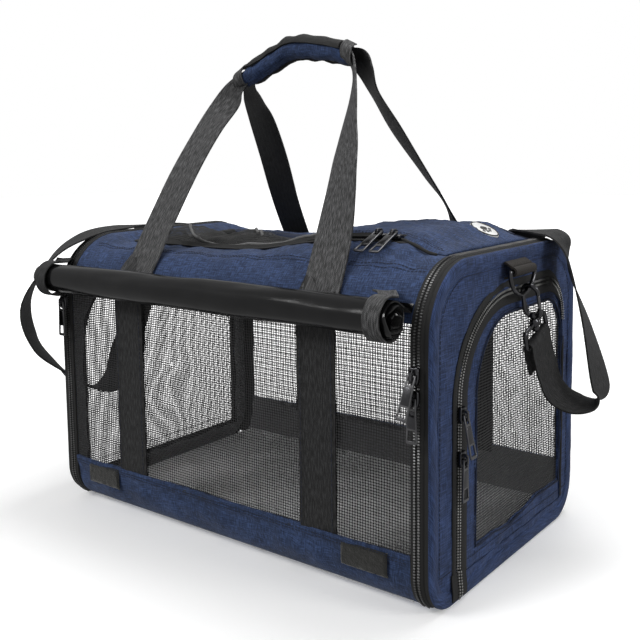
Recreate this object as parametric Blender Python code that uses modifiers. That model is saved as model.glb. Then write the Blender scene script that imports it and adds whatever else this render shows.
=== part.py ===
"""Soft-sided pet carrier bag at rest, in metres. +X is the end with the zipped door, -Y the
long mesh side, +Z up. The origin is the middle of the bag's footprint."""
import math

import bpy
from mathutils import Matrix, Vector

# ---- overall sizes ----
LENGTH, WIDTH, HEIGHT = 0.445, 0.280, 0.280
R_TOP, R_BOTTOM = 0.060, 0.035            # corners of the end's outline
SIDE_X = 0.2042                           # half length of the mesh sides, top and bottom
UNDER_X = 0.2158                          # half length of the flat underside
GAP = 0.0004                              # clearance between neighbouring nodes
PANEL, MESH = 0.0024, 0.0012              # quilted fabric and open mesh
WEB_WIDTH, WEB = 0.038, 0.0016            # webbing
BAND_TOP, MESH_TOP = 0.0505, 0.2345       # heights where the mesh starts and ends
WEB_X, WEB_TOP = 0.115, 0.2500            # sewn webbing
# ---- ends ----
PIPING_INSET, PIPING_X = 0.0066, 0.2194
ZIP_X = 0.2106                            # centre of the corner zip
END_FACE, END_T = 0.2210, 0.0025
DOOR_FRONT, DOOR_REAR, DOOR_FOOT, DOOR_TOP = -0.0920, 0.1116, 0.0205, 0.2405
ZIP_GAP = 0.0052                          # from the door's edge to the end panel
# ---- rolls ----
ROLL_Y, ROLL_Z, ROLL_R = 0.1585, 0.2400, 0.0165
# ---- hatch ----
HATCH_X0, HATCH_X1, HATCH_Y = -0.168, 0.185, 0.070
HATCH_SPLIT = 0.055                       # mesh to its left, padded fabric to its right
HATCH_EDGE, HATCH_ZIP = 0.0082, 0.0052    # from the hatch to the roof, and to its zip
# ---- handles ----
FOOT_Y, FOOT_Z = 0.1325, 0.2540
GRIP_X0, GRIP_X1 = -0.073, 0.050
# ---- snap hook, measured from where it hangs on the D-ring ----
TAB_X, TAB_Z = 0.2310, 0.2620
RING_HALF, RING_DROP, WIRE = 0.0245, 0.021, 0.0018
HOOK_Y, HOOK_TILT = 0.010, math.radians(20)
HOOK_Z = TAB_Z - RING_DROP * math.sqrt(1 - (HOOK_Y / RING_HALF) ** 2)
POST_X, EYE_R, BAR_DROP = 0.0020, 0.0070, 0.0485

for old in list(bpy.data.objects):
    bpy.data.objects.remove(old)
bag = bpy.data.collections.new("pet_carrier")
bpy.context.scene.collection.children.link(bag)
cutters = bpy.data.collections.new("cutters")
bpy.context.scene.collection.children.link(cutters)


def material(name, rgb, metallic=0.0, roughness=0.8):
    made = bpy.data.materials.new(name)
    made.use_nodes = True
    shader = made.node_tree.nodes["Principled BSDF"]
    shader.inputs["Base Color"].default_value = (*rgb, 1)
    shader.inputs["Metallic"].default_value = metallic
    shader.inputs["Roughness"].default_value = roughness
    return made


NAVY = material("navy_fabric", (0.035, 0.065, 0.16))
NET = material("black_mesh", (0.02, 0.02, 0.02))
BLACK = material("black_webbing", (0.03, 0.03, 0.03))
COATED = material("coated_fabric", (0.012, 0.012, 0.012), 0, 0.3)
FELT = material("grey_mat", (0.10, 0.10, 0.11))
METAL = material("gunmetal", (0.16, 0.16, 0.17), 1, 0.35)
PALE = material("white_badge", (0.8, 0.8, 0.8), 0, 0.4)


def place(name, data, mat, smooth=False, home=None):
    node = bpy.data.objects.new(name, data)
    (home or bag).objects.link(node)
    if not data.materials:
        data.materials.append(mat)
    if smooth and isinstance(data, bpy.types.Mesh):
        data.polygons.foreach_set("use_smooth", [True] * len(data.polygons))
    return node


def skin(name, rows, thickness, mat, offset=-1.0, skip=None, smooth=True):
    """A sheet through a grid of points, made solid towards the bag's middle, or both ways
    with offset 0. skip(row, column) leaves cells out."""
    across = len(rows[0])
    faces = [
        (r * across + c, r * across + c + 1, (r + 1) * across + c + 1, (r + 1) * across + c)
        for r in range(len(rows) - 1)
        for c in range(across - 1)
        if not (skip and skip(r, c))
    ]
    used = sorted({i for face in faces for i in face})
    index = {old: new for new, old in enumerate(used)}
    points = [tuple(p) for row in rows for p in row]
    data = bpy.data.meshes.new(name)
    data.from_pydata([points[i] for i in used], [], [[index[i] for i in f] for f in faces])
    middle = Vector((0, 0, HEIGHT / 2))
    if sum(f.normal.dot(f.center - middle) * f.area for f in data.polygons) < 0:
        data.flip_normals()
    node = place(name, data, mat, smooth)
    solid = node.modifiers.new("thickness", "SOLIDIFY")
    solid.thickness = thickness
    solid.offset = offset
    solid.use_even_offset = True
    return node


def sweep(name, rings, mat, closed=False, smooth=True, home=None):
    """A closed body through rings of points, capped unless the sweep meets itself."""
    n = len(rings[0])
    count = len(rings)
    faces = []
    for r in range(count if closed else count - 1):
        a, b = r * n, (r + 1) % count * n
        faces += [(a + i, a + (i + 1) % n, b + (i + 1) % n, b + i) for i in range(n)]
    if not closed:
        faces += [tuple(reversed(range(n))), tuple(range((count - 1) * n, count * n))]
    points = [Vector(p) for ring in rings for p in ring]
    volume = sum(
        points[f[0]].dot(points[f[i]].cross(points[f[i + 1]]))
        for f in faces
        for i in range(1, len(f) - 1)
    )
    if volume < 0:
        faces = [tuple(reversed(f)) for f in faces]
    data = bpy.data.meshes.new(name)
    data.from_pydata([tuple(p) for p in points], [], faces)
    return place(name, data, mat, smooth, home)


def plate(name, outline, holes, centre, thickness, mat, turn, home=None):
    """A flat piece with holes. turn carries its own X, Y and Z to the bag's axes."""
    flat = bpy.data.curves.new(name + "_outline", "CURVE")
    flat.dimensions = "2D"
    flat.fill_mode = "BOTH"
    for loop in [outline, *holes]:
        spline = flat.splines.new("POLY")
        spline.points.add(len(loop) - 1)
        for point, (u, v) in zip(spline.points, loop):
            point.co = (u, v, 0, 1)
        spline.use_cyclic_u = True
    flat.extrude = thickness / 2
    drawn = bpy.data.objects.new(name + "_outline", flat)
    data = bpy.data.meshes.new_from_object(drawn)
    bpy.data.objects.remove(drawn)
    data.name = name
    node = place(name, data, mat, home=home)
    weld = node.modifiers.new("weld", "WELD")
    weld.merge_threshold = 1e-5
    node.matrix_world = Matrix.Translation(centre) @ turn.to_4x4()
    return node


YZ = Matrix(((0, 0, 1), (1, 0, 0), (0, 1, 0)))    # drawn in Y and Z, thick along X
XZ = Matrix(((1, 0, 0), (0, 0, -1), (0, 1, 0)))   # drawn in X and Z, thick along -Y


def tube(name, path, radius, mat, cyclic=False, sides=2, home=None):
    """A round bar along a path, as a mesh."""
    line = bpy.data.curves.new(name + "_line", "CURVE")
    line.dimensions = "3D"
    line.bevel_depth = radius
    line.bevel_resolution = sides
    line.use_fill_caps = True
    spline = line.splines.new("POLY")
    spline.points.add(len(path) - 1)
    for point, p in zip(spline.points, path):
        point.co = (*p, 1)
    spline.use_cyclic_u = cyclic
    drawn = bpy.data.objects.new(name + "_line", line)
    data = bpy.data.meshes.new_from_object(drawn)
    bpy.data.objects.remove(drawn)
    data.name = name
    node = place(name, data, mat, True, home)
    weld = node.modifiers.new("weld", "WELD")
    weld.merge_threshold = 1e-5
    return node


def combine(node, tool, how):
    tool.hide_render = True
    tool.display_type = "WIRE"
    cut = node.modifiers.new(how.lower(), "BOOLEAN")
    cut.operation = how
    cut.solver = "EXACT"
    cut.object = tool


def arc(centre, radii, start, end, steps):
    """Points on an ellipse, angles in degrees."""
    turns = [math.radians(start + (end - start) * i / steps) for i in range(steps + 1)]
    return [(centre[0] + radii[0] * math.cos(t), centre[1] + radii[1] * math.sin(t)) for t in turns]


# ---- the end's outline, walked from the middle of the bottom, front side first ----
LEGS = [
    ("line", WIDTH / 2 - R_BOTTOM), ("arc", R_BOTTOM), ("line", HEIGHT - R_BOTTOM - R_TOP),
    ("arc", R_TOP), ("line", WIDTH - 2 * R_TOP), ("arc", R_TOP),
    ("line", HEIGHT - R_BOTTOM - R_TOP), ("arc", R_BOTTOM), ("line", WIDTH / 2 - R_BOTTOM),
]
ARC_STEPS = 5


def outline_point(s, offset=0.0):
    """(y, z) at distance s along the outline, moved outwards by offset."""
    y, z, heading = 0.0, 0.0, math.pi
    for kind, size in LEGS:
        long = size if kind == "line" else size * math.pi / 2
        walk = min(s, long)
        if kind == "line":
            y, z = y + walk * math.cos(heading), z + walk * math.sin(heading)
        else:
            turned = heading - walk / size
            y += size * (math.sin(heading) - math.sin(turned))
            z += size * (math.cos(turned) - math.cos(heading))
            heading = turned
        s -= walk
        if s <= 1e-9:
            break
    return y - offset * math.sin(heading), z + offset * math.cos(heading)


KNOTS, total = [0.0], 0.0
for kind, size in LEGS:
    long = size if kind == "line" else size * math.pi / 2
    parts = 1 if kind == "line" else ARC_STEPS
    KNOTS += [total + long * (i + 1) / parts for i in range(parts)]
    total += long
AROUND = total


def at_height(z):
    """Distance along the outline to height z on the front side."""
    low, high = LEGS[0][1], AROUND / 2
    for _ in range(50):
        middle = (low + high) / 2
        low, high = (middle, high) if outline_point(middle)[1] < z else (low, middle)
    return low


def stations(s0, s1, extra=()):
    inside = [k for k in (*KNOTS, *extra) if s0 + 1e-4 < k < s1 - 1e-4]
    return sorted([s0, s1, *inside])


def ease(value, start, end):
    t = min(max((value - start) / (end - start), 0), 1)
    return t * t * (3 - 2 * t)


def crown(x, y):
    """How far the slack roof stands above or below a flat top."""
    across = max(0.0, 1 - (abs(y) / 0.118) ** 4)
    ends = ease(SIDE_X - abs(x), 0, 0.030)
    sag = -0.010 * (1 - ease(x, -0.03, 0.09))
    hollow = -0.013 * math.exp(-(((x + 0.075) / 0.050) ** 2) - ((y - 0.015) / 0.060) ** 2)
    rise = 0.010 * ease(x, -0.01, 0.13) * (1 - ease(x, 0.165, 0.204))
    return across * ends * (sag + hollow + rise)


# ---- skin: bottom, mesh sides, roof ----
S_BAND, S_MESH = at_height(BAND_TOP), at_height(MESH_TOP)


# The bottom runs from the front band under the bag to the rear band. Its flat part reaches
# past the corner zips to the ends.
S_UNDER = at_height(0.0030)
under = [outline_point(s) for s in reversed(stations(0, S_BAND, (S_UNDER, S_UNDER + 0.002)))]
under += [(-y, z) for y, z in reversed(under[:-1])]
skin("bottom_panel", [[(side * (UNDER_X if z < 0.0031 else SIDE_X), y, z) for side in (-1, 1)]
                      for y, z in under], PANEL, NAVY)
front_s = stations(S_BAND + 0.0006, S_MESH)
skin("front_mesh", [[(x, *outline_point(s)) for x in (-SIDE_X, SIDE_X)] for s in front_s],
     MESH, NET)
skin("rear_mesh", [[(x, -outline_point(s)[0], outline_point(s)[1])
                    for x in (-SIDE_X, SIDE_X)] for s in front_s], MESH, NET)

HOLE_X0, HOLE_X1, HOLE_Y = HATCH_X0 - HATCH_EDGE, HATCH_X1 + HATCH_EDGE, HATCH_Y + HATCH_EDGE
s_mid = AROUND / 2
roof_s = stations(S_MESH + 0.0006, AROUND - S_MESH - 0.0006,
                  (s_mid - HOLE_Y, s_mid - 0.035, s_mid, s_mid + 0.035, s_mid + HOLE_Y))
roof_x = [-SIDE_X, -0.190, HOLE_X0, -0.150, -0.125, -0.100, -0.075, -0.050, -0.025, 0.005,
          0.040, 0.075, 0.110, 0.145, 0.170, HOLE_X1, 0.198, SIDE_X]
roof_rows = []
for s in roof_s:
    y, z = outline_point(s)
    roof_rows.append([(x, y, z + crown(x, y)) for x in roof_x])


def in_hatch(r, c):
    y = (roof_rows[r][c][1] + roof_rows[r + 1][c][1]) / 2
    x = (roof_x[c] + roof_x[c + 1]) / 2
    return abs(y) < HOLE_Y and HOLE_X0 < x < HOLE_X1


skin("top_panel", roof_rows, PANEL, NAVY, -1.0, in_hatch)


def roof_grid(x0, x1, y0, y1, nx, ny, lift=0.0, puff=0.0):
    """Points over the roof; puff raises the middle."""
    rows = []
    for j in range(ny + 1):
        y = y0 + (y1 - y0) * j / ny
        row = []
        for i in range(nx + 1):
            x = x0 + (x1 - x0) * i / nx
            u, v = 2 * i / nx - 1, 2 * j / ny - 1
            row.append((x, y, HEIGHT + crown(x, y) + lift + puff * (1 - u**4) * (1 - v**4)))
        rows.append(row)
    return rows


skin("top_hatch", roof_grid(HATCH_X0, HATCH_SPLIT, -HATCH_Y, HATCH_Y, 12, 6), 0.0016, NET)
pocket_top = roof_grid(HATCH_SPLIT + GAP, HATCH_X1, -HATCH_Y, HATCH_Y, 7, 6, 0, 0.004)
pocket_low = roof_grid(HATCH_SPLIT + GAP, HATCH_X1, -HATCH_Y, HATCH_Y, 7, 6, -0.0030)
rings = []
for upper, lower in zip(pocket_top, pocket_low):
    rings.append(upper + lower[::-1])
sweep("hatch_pocket", rings, NAVY)
badge = arc((0, 0), (0.0145, 0.0105), 0, 345, 23)
bx, by = 0.160, 0.030
plate("badge", badge, [], (bx, by, HEIGHT + crown(bx, by) + 0.0052), 0.0012, PALE,
      Matrix.Rotation(math.radians(-3), 3, "Y"))

# The hatch's zip runs round its left, front and right sides.
bead = 0.0020
edge_x0, edge_x1, edge_y = HATCH_X0 - HATCH_ZIP, HATCH_X1 + HATCH_ZIP, HATCH_Y + HATCH_ZIP
run = [(edge_x0, 0.062), (edge_x0, 0.030), (edge_x0, 0.0), (edge_x0, -0.030)]
run += arc((edge_x0 + 0.003, -edge_y + 0.003), (0.003, 0.003), 180, 270, 2)
run += [(x, -edge_y) for x in (-0.130, -0.100, -0.075, -0.050, -0.020, 0.020, 0.060, 0.100,
                               0.140, 0.165)]
run += arc((edge_x1 - 0.003, -edge_y + 0.003), (0.003, 0.003), -90, 0, 2)
run += [(edge_x1, -0.030), (edge_x1, 0.0), (edge_x1, 0.030), (edge_x1, 0.062)]
tube("hatch_zip", [(x, y, HEIGHT + crown(x, y) - 0.0005) for x, y in run], bead, METAL, sides=1)

# ---- sewn webbing and hook-and-loop patches on the long sides ----
S_WEB = at_height(WEB_TOP)
for side, word in ((1, "front"), (-1, "rear")):
    for hand, half in ((-1, "left"), (1, "right")):
        rows = [[(hand * WEB_X + dx, side * outline_point(s, 0.0003 + WEB)[0],
                  outline_point(s, 0.0003 + WEB)[1]) for dx in (-WEB_WIDTH / 2, WEB_WIDTH / 2)]
                for s in stations(at_height(0.040), S_WEB, (S_BAND, S_MESH, S_MESH + 0.0006))]
        skin(f"{word}_{half}_webbing", rows, WEB, BLACK)
for hand, half in ((-1, "left"), (1, "right")):
    rows = [[(hand * 0.161 + dx, *outline_point(s, 0.0018)) for dx in (-0.0225, 0.0225)]
            for s in stations(at_height(0.0275), at_height(0.0475))]
    skin(f"{half}_velcro_patch", rows, 0.0014, BLACK)

# ---- rolled-up curtains and the loops that hold them ----
for side, word in ((-1, "front"), (1, "rear")):
    shape = [(-0.2290, 0.0105), (-0.2240, 0.0140), (-0.2120, 0.0163), (-0.195, ROLL_R),
             (0.190, ROLL_R), (0.2030, 0.0158)]
    rings = [[(x, side * ROLL_Y + y, ROLL_Z + z) for y, z in arc((0, 0), (r, r), 0, 342, 19)]
             for x, r in shape]
    sweep(f"{word}_curtain", rings, COATED)
    for x, half in ((-0.2080, "left"), (0.1920, "right")):
        plate(f"{word}_{half}_loop", arc((0, 0), (0.0184, 0.0184), 0, 342, 19),
              [arc((0, 0), (0.0170, 0.0170), 0, 342, 19)],
              (x, side * ROLL_Y, ROLL_Z), 0.011, BLACK, YZ)


# ---- ends ----
def ring_points(inset):
    return [outline_point(s, -inset) for s in KNOTS[:-1]]


def door_loop(front, top, rear, foot, from_foot=True):
    """The door's arch, grown outwards by these amounts."""
    points = [(DOOR_FRONT - front, DOOR_FOOT - foot)] if from_foot else []
    points += arc((DOOR_FRONT + 0.085, 0.165), (0.085 + front, 0.0755 + top), 180, 90, 9)
    points += arc((DOOR_REAR - 0.040, 0.2005), (0.040 + rear, 0.040 + top), 90, 0, 6)
    return points + ([(DOOR_REAR + rear, DOOR_FOOT - foot)] if from_foot else [])


WINDOW = [(-0.0630, 0.0360), *arc((-0.003, 0.160), (0.060, 0.0640), 180, 90, 8),
          *arc((0.0735, 0.189), (0.035, 0.035), 90, 0, 5), (0.1085, 0.0360)]


def shrink(loop, by):
    """A loop moved inwards, by nearing its middle."""
    cy = sum(p[0] for p in loop) / len(loop)
    cz = (max(p[1] for p in loop) + min(p[1] for p in loop)) / 2
    return [(y - math.copysign(min(by, abs(y - cy)), y - cy),
             z - math.copysign(min(by, abs(z - cz)), z - cz)) for y, z in loop]


for hand, word in ((1, "right"), (-1, "left")):
    # The end is sewn into a piped border that holds its shape.
    rings = []
    for s in KNOTS[:-1]:
        ring = []
        for t in range(8):
            a = 2 * math.pi * t / 8
            y, z = outline_point(s, -PIPING_INSET + 0.0064 * math.cos(a))
            ring.append((hand * (PIPING_X + 0.0031 * math.sin(a)), y, z))
        rings.append(ring)
    sweep(f"{word}_piping", rings, NAVY, closed=True)
    # The corner zip: two tapes with the closed chain standing up between them.
    profile = [(-0.0056, -0.0016), (0.0056, -0.0016), (0.0056, 0.0), (0.0024, 0.0),
               (0.0018, 0.0020), (0.0, 0.0026), (-0.0018, 0.0020), (-0.0024, 0.0), (-0.0056, 0.0)]
    rings = []
    for s in stations(at_height(0.006), AROUND - at_height(0.006)):
        rings.append([(hand * (ZIP_X + dx), *outline_point(s, up)) for dx, up in profile])
    sweep(f"{word}_corner_zip", rings, METAL, smooth=False)
    hole = door_loop(ZIP_GAP, ZIP_GAP, 0.0012, 0.0008) if hand > 0 else door_loop(0, 0, 0, 0)
    middle = hand * (END_FACE - END_T / 2)
    plate(f"{word}_end_panel", ring_points(0.0134), [hole], (middle, 0, 0), END_T, NAVY, YZ)
    if hand > 0:
        plate("right_door", shrink(door_loop(0, 0, 0, 0), GAP), [WINDOW], (middle, 0, 0),
              END_T, NAVY, YZ)
        plate("right_door_mesh", shrink(WINDOW, GAP), [], (middle, 0, 0), MESH, NET, YZ)
        chain = door_loop(0.0027, 0.0027, 0, 0, False)[:11]
        chain = [(DOOR_FRONT - 0.0027, 0.0225), *chain]
        tube("right_door_zip", [(0.2199, y, z) for y, z in chain], 0.0021, METAL, sides=1)
    else:
        plate("left_window_mesh", shrink(door_loop(0, 0, 0, 0), GAP), [], (middle, 0, 0),
              MESH, NET, YZ)

mat_profile = [(-0.111, 0.0034), (0.111, 0.0034), (0.1275, 0.0145), (-0.1275, 0.0145)]
plate("floor_mat", mat_profile, [], (0, 0, 0), 0.400, FELT, YZ)


# ---- webbing: handles and shoulder strap ----
def spline_through(points, per):
    """Catmull-Rom through tuples of numbers."""
    out = []
    for i in range(len(points) - 1):
        p = [Vector(points[max(0, min(len(points) - 1, i + k))]) for k in (-1, 0, 1, 2)]
        for j in range(per):
            t = j / per
            out.append(0.5 * (2 * p[1] + (p[2] - p[0]) * t
                              + (2 * p[0] - 5 * p[1] + 4 * p[2] - p[3]) * t * t
                              + (3 * p[1] - p[0] - 3 * p[2] + p[3]) * t**3))
    return out + [Vector(points[-1])]


def webbing(name, places, widths, across, per, mat):
    """Flat webbing along places; across points along its width at each place."""
    centre = spline_through(places, per)
    wide = spline_through([(w, 0, 0) for w in widths], per)
    side = spline_through(across, per)
    rows = []
    for i, p in enumerate(centre):
        along = centre[min(i + 1, len(centre) - 1)] - centre[max(i - 1, 0)]
        level = side[i] - along * (side[i].dot(along) / along.length_squared)
        half = level.normalized() * (wide[i].x / 2)
        rows.append([p - half, p + half])
    return skin(name, rows, WEB, mat, 0.0)


GRIP_LINE = [(-0.081, 0.4440), (-0.045, 0.4590), (-0.015, 0.4695), (0.020, 0.4660),
             (0.051, 0.4590)]


def grip_z(x):
    for (x0, z0), (x1, z1) in zip(GRIP_LINE, GRIP_LINE[1:]):
        if x <= x1 or x1 == GRIP_LINE[-1][0]:
            return z0 + (z1 - z0) * (x - x0) / (x1 - x0)


IN_GRIP = [(x, grip_z(x)) for x in (-0.0735, -0.045, -0.015, 0.020, 0.045)]
W = WEB_WIDTH
front_path = [(-0.1060, -FOOT_Y, FOOT_Z), (-0.1045, -0.1050, 0.2970), (-0.1000, -0.0740, 0.3470),
              (-0.0965, -0.0430, 0.3880), (-0.0925, -0.0200, 0.4150), (-0.0880, -0.0100, 0.4320)]
front_path += [(x, -0.0045, z) for x, z in IN_GRIP]
front_path += [(0.0570, -0.0060, 0.4530), (0.0640, -0.0100, 0.4380), (0.0680, -0.0200, 0.4160),
               (0.0800, -0.0460, 0.3800), (0.0950, -0.0740, 0.3470), (0.1080, -0.1050, 0.2970),
               (0.1150, -FOOT_Y, FOOT_Z)]
front_width = [W, W, W, 0.036, 0.030, 0.016, *[0.0090] * 5, 0.0110, 0.016, 0.024, 0.034, W, W, W]
front_across = [(1, 0, 0)] * 3 + [(1, 0, -0.1), (0.9, 0.1, -0.4), (0.5, 0.2, -0.8)]
front_across += [(0, 0, -1)] * 5
front_across += [(-0.5, 0, -0.9), (-0.9, 0, -0.4), (-1, 0, -0.1), *[(-1, 0, 0)] * 4]
webbing("front_handle", front_path, front_width, front_across, 2, BLACK)
rear_path = [(-0.1180, FOOT_Y, FOOT_Z), (-0.1130, 0.1000, 0.3050), (-0.1010, 0.0640, 0.3600),
             (-0.0900, 0.0320, 0.4010), (-0.0870, 0.0170, 0.4190), (-0.0850, 0.0095, 0.4330)]
rear_path += [(x, 0.0045, z) for x, z in IN_GRIP]
rear_path += [(0.0600, 0.0065, 0.4560), (0.0720, 0.0100, 0.4450), (0.0830, 0.0160, 0.4250),
              (0.0970, 0.0270, 0.3870), (0.1080, 0.0520, 0.3400), (0.1130, 0.0920, 0.2960),
              (0.1150, FOOT_Y, FOOT_Z)]
webbing("rear_handle", rear_path, front_width, front_across, 2, BLACK)
for side, name, mat in ((-1, "grip_pad", NAVY), (1, "grip_flap", BLACK)):
    rings = []
    for k in range(9):
        x = GRIP_X0 + (GRIP_X1 - GRIP_X0) * k / 8
        outer = arc((0, 0), (0.0142, 0.0110), 88, -88, 9)
        inner = arc((0, 0), (0.0118, 0.0086), -87, 87, 9)
        rings.append([(x, side * y, grip_z(x) + z) for y, z in outer + inner])
    sweep(name, rings, mat)


# ---- D-rings, snap hooks and shoulder strap ----
half_turn = Matrix.Rotation(math.pi, 4, "Z")
tab = [(-0.0082, 0.0068), (-0.0082, -0.0050), *arc((0, 0), (0.0038, 0.0038), -120, 60, 8),
       (-0.0050, 0.0068)]
ring_path = [(TAB_X, y, TAB_Z + z) for y, z in
             [(-RING_HALF, 0.0), *arc((0, 0), (RING_HALF, RING_DROP), 190, 350, 14),
              (RING_HALF, 0.0)]]
lean = Matrix.Rotation(HOOK_TILT, 4, "X")
hang = Matrix.Translation((TAB_X, HOOK_Y, HOOK_Z + 0.0006)) @ lean
hook_line = [(POST_X + EYE_R, -0.0045), *arc((POST_X, -0.003), (EYE_R, EYE_R), 0, 180, 8),
             (POST_X - EYE_R, -0.0190), *arc((POST_X, -0.0190), (EYE_R, 0.0075), 195, 345, 6)]
frame_line = [(-0.0215, -0.0345), (-0.0200, -0.0330), (0.0200, -0.0330), (0.0215, -0.0345),
              (0.0215, -0.0470), (0.0200, -0.0485), (-0.0200, -0.0485), (-0.0215, -0.0470)]


def rod(name, radius, low, high, home):
    """An upright round bar in the hook's own frame."""
    rings = [[(POST_X + u, v, w) for u, v in arc((0, 0), (radius, radius), 0, 330, 11)]
             for w in (low, high)]
    return sweep(name, rings, METAL, home=home)


for hand, word in ((1, "right"), (-1, "left")):
    put = Matrix.Identity(4) if hand > 0 else half_turn
    node = plate(f"{word}_ring_tab", tab, [arc((0, 0), (0.0024, 0.0024), 0, 324, 9)],
                 (TAB_X, 0, TAB_Z), 0.040, BLACK, XZ)
    node.matrix_world = put @ node.matrix_world
    tube(f"{word}_d_ring", ring_path, WIRE, METAL, cyclic=True).matrix_world = put
    hook = tube(f"{word}_snap_hook", [(u, 0, w) for u, w in hook_line], WIRE, METAL)
    gate = tube(f"{word}_hook_gate", [(POST_X + EYE_R, 0, z) for z in (-0.0070, -0.0185)], 0.0014,
                METAL)
    base = tube(f"{word}_swivel_base", [(POST_X, v, w) for v, w in frame_line], 0.0019, METAL,
                cyclic=True)
    tools = [rod(f"{word}_stem", 0.0023, -0.0380, -0.0255, cutters),
             rod(f"{word}_head", 0.0036, -0.0390, -0.0362, cutters),
             rod(f"{word}_boss", 0.0046, -0.0355, -0.0305, cutters),
             rod(f"{word}_bore", 0.0027, -0.0370, -0.0290, cutters)]
    for thing in (hook, gate, base, *tools):
        thing.matrix_world = put @ hang
    combine(hook, tools[0], "UNION")
    combine(hook, tools[1], "UNION")
    combine(base, tools[2], "UNION")
    combine(base, tools[3], "DIFFERENCE")


def from_hang(u, v, w):
    return tuple(hang @ Vector((u, v, w)))


def turned(p):
    return (-p[0], -p[1], p[2])


E = (0.0, math.cos(HOOK_TILT), math.sin(HOOK_TILT))
wrap_r = 0.0036
over_bar = [(POST_X - 0.0022, 0, -BAR_DROP - 0.028), (POST_X - wrap_r, 0, -BAR_DROP - 0.010),
            (POST_X - wrap_r, 0, -BAR_DROP), (POST_X - 0.0025, 0, -BAR_DROP + 0.0026),
            (POST_X, 0, -BAR_DROP + wrap_r), (POST_X + 0.0025, 0, -BAR_DROP + 0.0026),
            (POST_X + wrap_r, 0, -BAR_DROP), (POST_X + wrap_r, 0, -BAR_DROP - 0.010)]
right_end = [from_hang(*p) for p in over_bar]
left_end = [turned(p) for p in reversed(right_end)]
strap_path = right_end + [
    (0.2385, 0.0380, 0.1680), (0.2420, 0.0450, 0.1520), (0.2530, 0.0600, 0.1385),
    (0.2660, 0.0760, 0.1370), (0.2700, 0.0860, 0.1470), (0.2650, 0.0850, 0.1700),
    (0.2560, 0.0790, 0.2080), (0.2440, 0.0780, 0.2480), (0.2370, 0.0800, 0.2720),
    (0.2270, 0.0830, 0.2860), (0.2050, 0.0940, 0.2870), (0.1850, 0.1130, 0.2830),
    (0.1700, 0.1380, 0.2760), (0.1600, 0.1640, 0.2700), (0.1480, 0.1860, 0.2570),
    (0.1200, 0.1880, 0.2420), (0.0300, 0.1830, 0.2360), (-0.0900, 0.1830, 0.2360),
    (-0.1900, 0.1830, 0.2380), (-0.2280, 0.1740, 0.2400), (-0.2480, 0.1400, 0.2440),
    (-0.2480, 0.0900, 0.2540), (-0.2460, 0.0400, 0.2650), (-0.2440, -0.0200, 0.2750),
    (-0.2430, -0.0750, 0.2760), (-0.2430, -0.1180, 0.2600), (-0.2430, -0.1490, 0.2230),
    (-0.2430, -0.1700, 0.1900), (-0.2430, -0.1600, 0.1700), (-0.2430, -0.1300, 0.1380),
    (-0.2430, -0.1030, 0.1130), (-0.2430, -0.0720, 0.1010), (-0.2420, -0.0480, 0.1150),
    (-0.2390, -0.0380, 0.1420), (-0.2375, -0.0340, 0.1600),
] + left_end
strap_across = [E] * 8
strap_across += [(0, 1, 0.3), (0, 1, 0.2), (-0.1, 1, 0.1), (0, 1, 0), (0, 1, 0), (0, 1, 0),
                 (0, 1, 0), (0, 1, 0), (0.1, 1, 0), (0.3, 0.9, 0), (0.5, 0.8, 0), (0.8, 0.5, -0.1),
                 (0.9, 0.35, -0.1), (0.8, 0.1, -0.55), (0.3, 0, -1), (0, 0, -1), (0, 0, -1),
                 (0, 0, -1), (0, 0, -1), (0, 0, -1), (0, 0, -1), (-0.2, 0, -1), (-0.6, 0, -0.8),
                 (-1, 0, -0.3), (-1, 0, 0), (-1, 0, 0), (-1, 0, 0), (-1, 0, 0), (-1, 0, 0),
                 (-1, 0, 0), (-1, 0, 0), (-1, 0, 0), (-0.9, -0.4, 0), (-0.5, -0.9, 0),
                 (-0.1, -1, 0.2)]
strap_across += [(0, -E[1], E[2])] * 8
webbing("shoulder_strap", strap_path, [W] * len(strap_path), strap_across, 2, BLACK)


# ---- zip sliders with their pulls ----
CROSS_SHIFT = Vector((0.0025, -0.0006, 0))   # a bridge that lets its pull hang sideways


def slider_mesh(name, crosswise):
    """A slider over a chain that runs along Z, seen from -Y. Its bridge holds the pull."""
    home = cutters
    body = [(-0.0032, -0.0065), (0.0032, -0.0065), (0.0045, -0.0020), (0.0045, 0.0055),
            (0.0030, 0.0065), (-0.0030, 0.0065), (-0.0045, 0.0055), (-0.0045, -0.0020)]
    block = plate(name + "_block", body, [], (0, -0.0022, 0), 0.0036, METAL, XZ, home)
    hump = [(0.0010, -0.0048), (0.0010, 0.0048), (-0.0045, 0.0036), (-0.0045, -0.0036)]
    tunnel = [(-0.0008, -0.0018), (-0.0008, 0.0018), (-0.0033, 0.0018), (-0.0033, -0.0018)]
    bridge = plate(name + "_bridge", hump, [tunnel], (0, -0.0036, 0), 0.0024, METAL, YZ, home)
    if crosswise:
        turn = Matrix.Translation(CROSS_SHIFT) @ Matrix.Rotation(math.pi / 2, 4, "Y")
        bridge.matrix_world = turn @ bridge.matrix_world
    combine(block, bridge, "UNION")
    bpy.context.view_layer.update()
    graph = bpy.context.evaluated_depsgraph_get()
    data = bpy.data.meshes.new_from_object(block.evaluated_get(graph))
    data.name = name
    data.transform(block.matrix_world)
    block.hide_render = True
    block.display_type = "WIRE"
    return data


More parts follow.
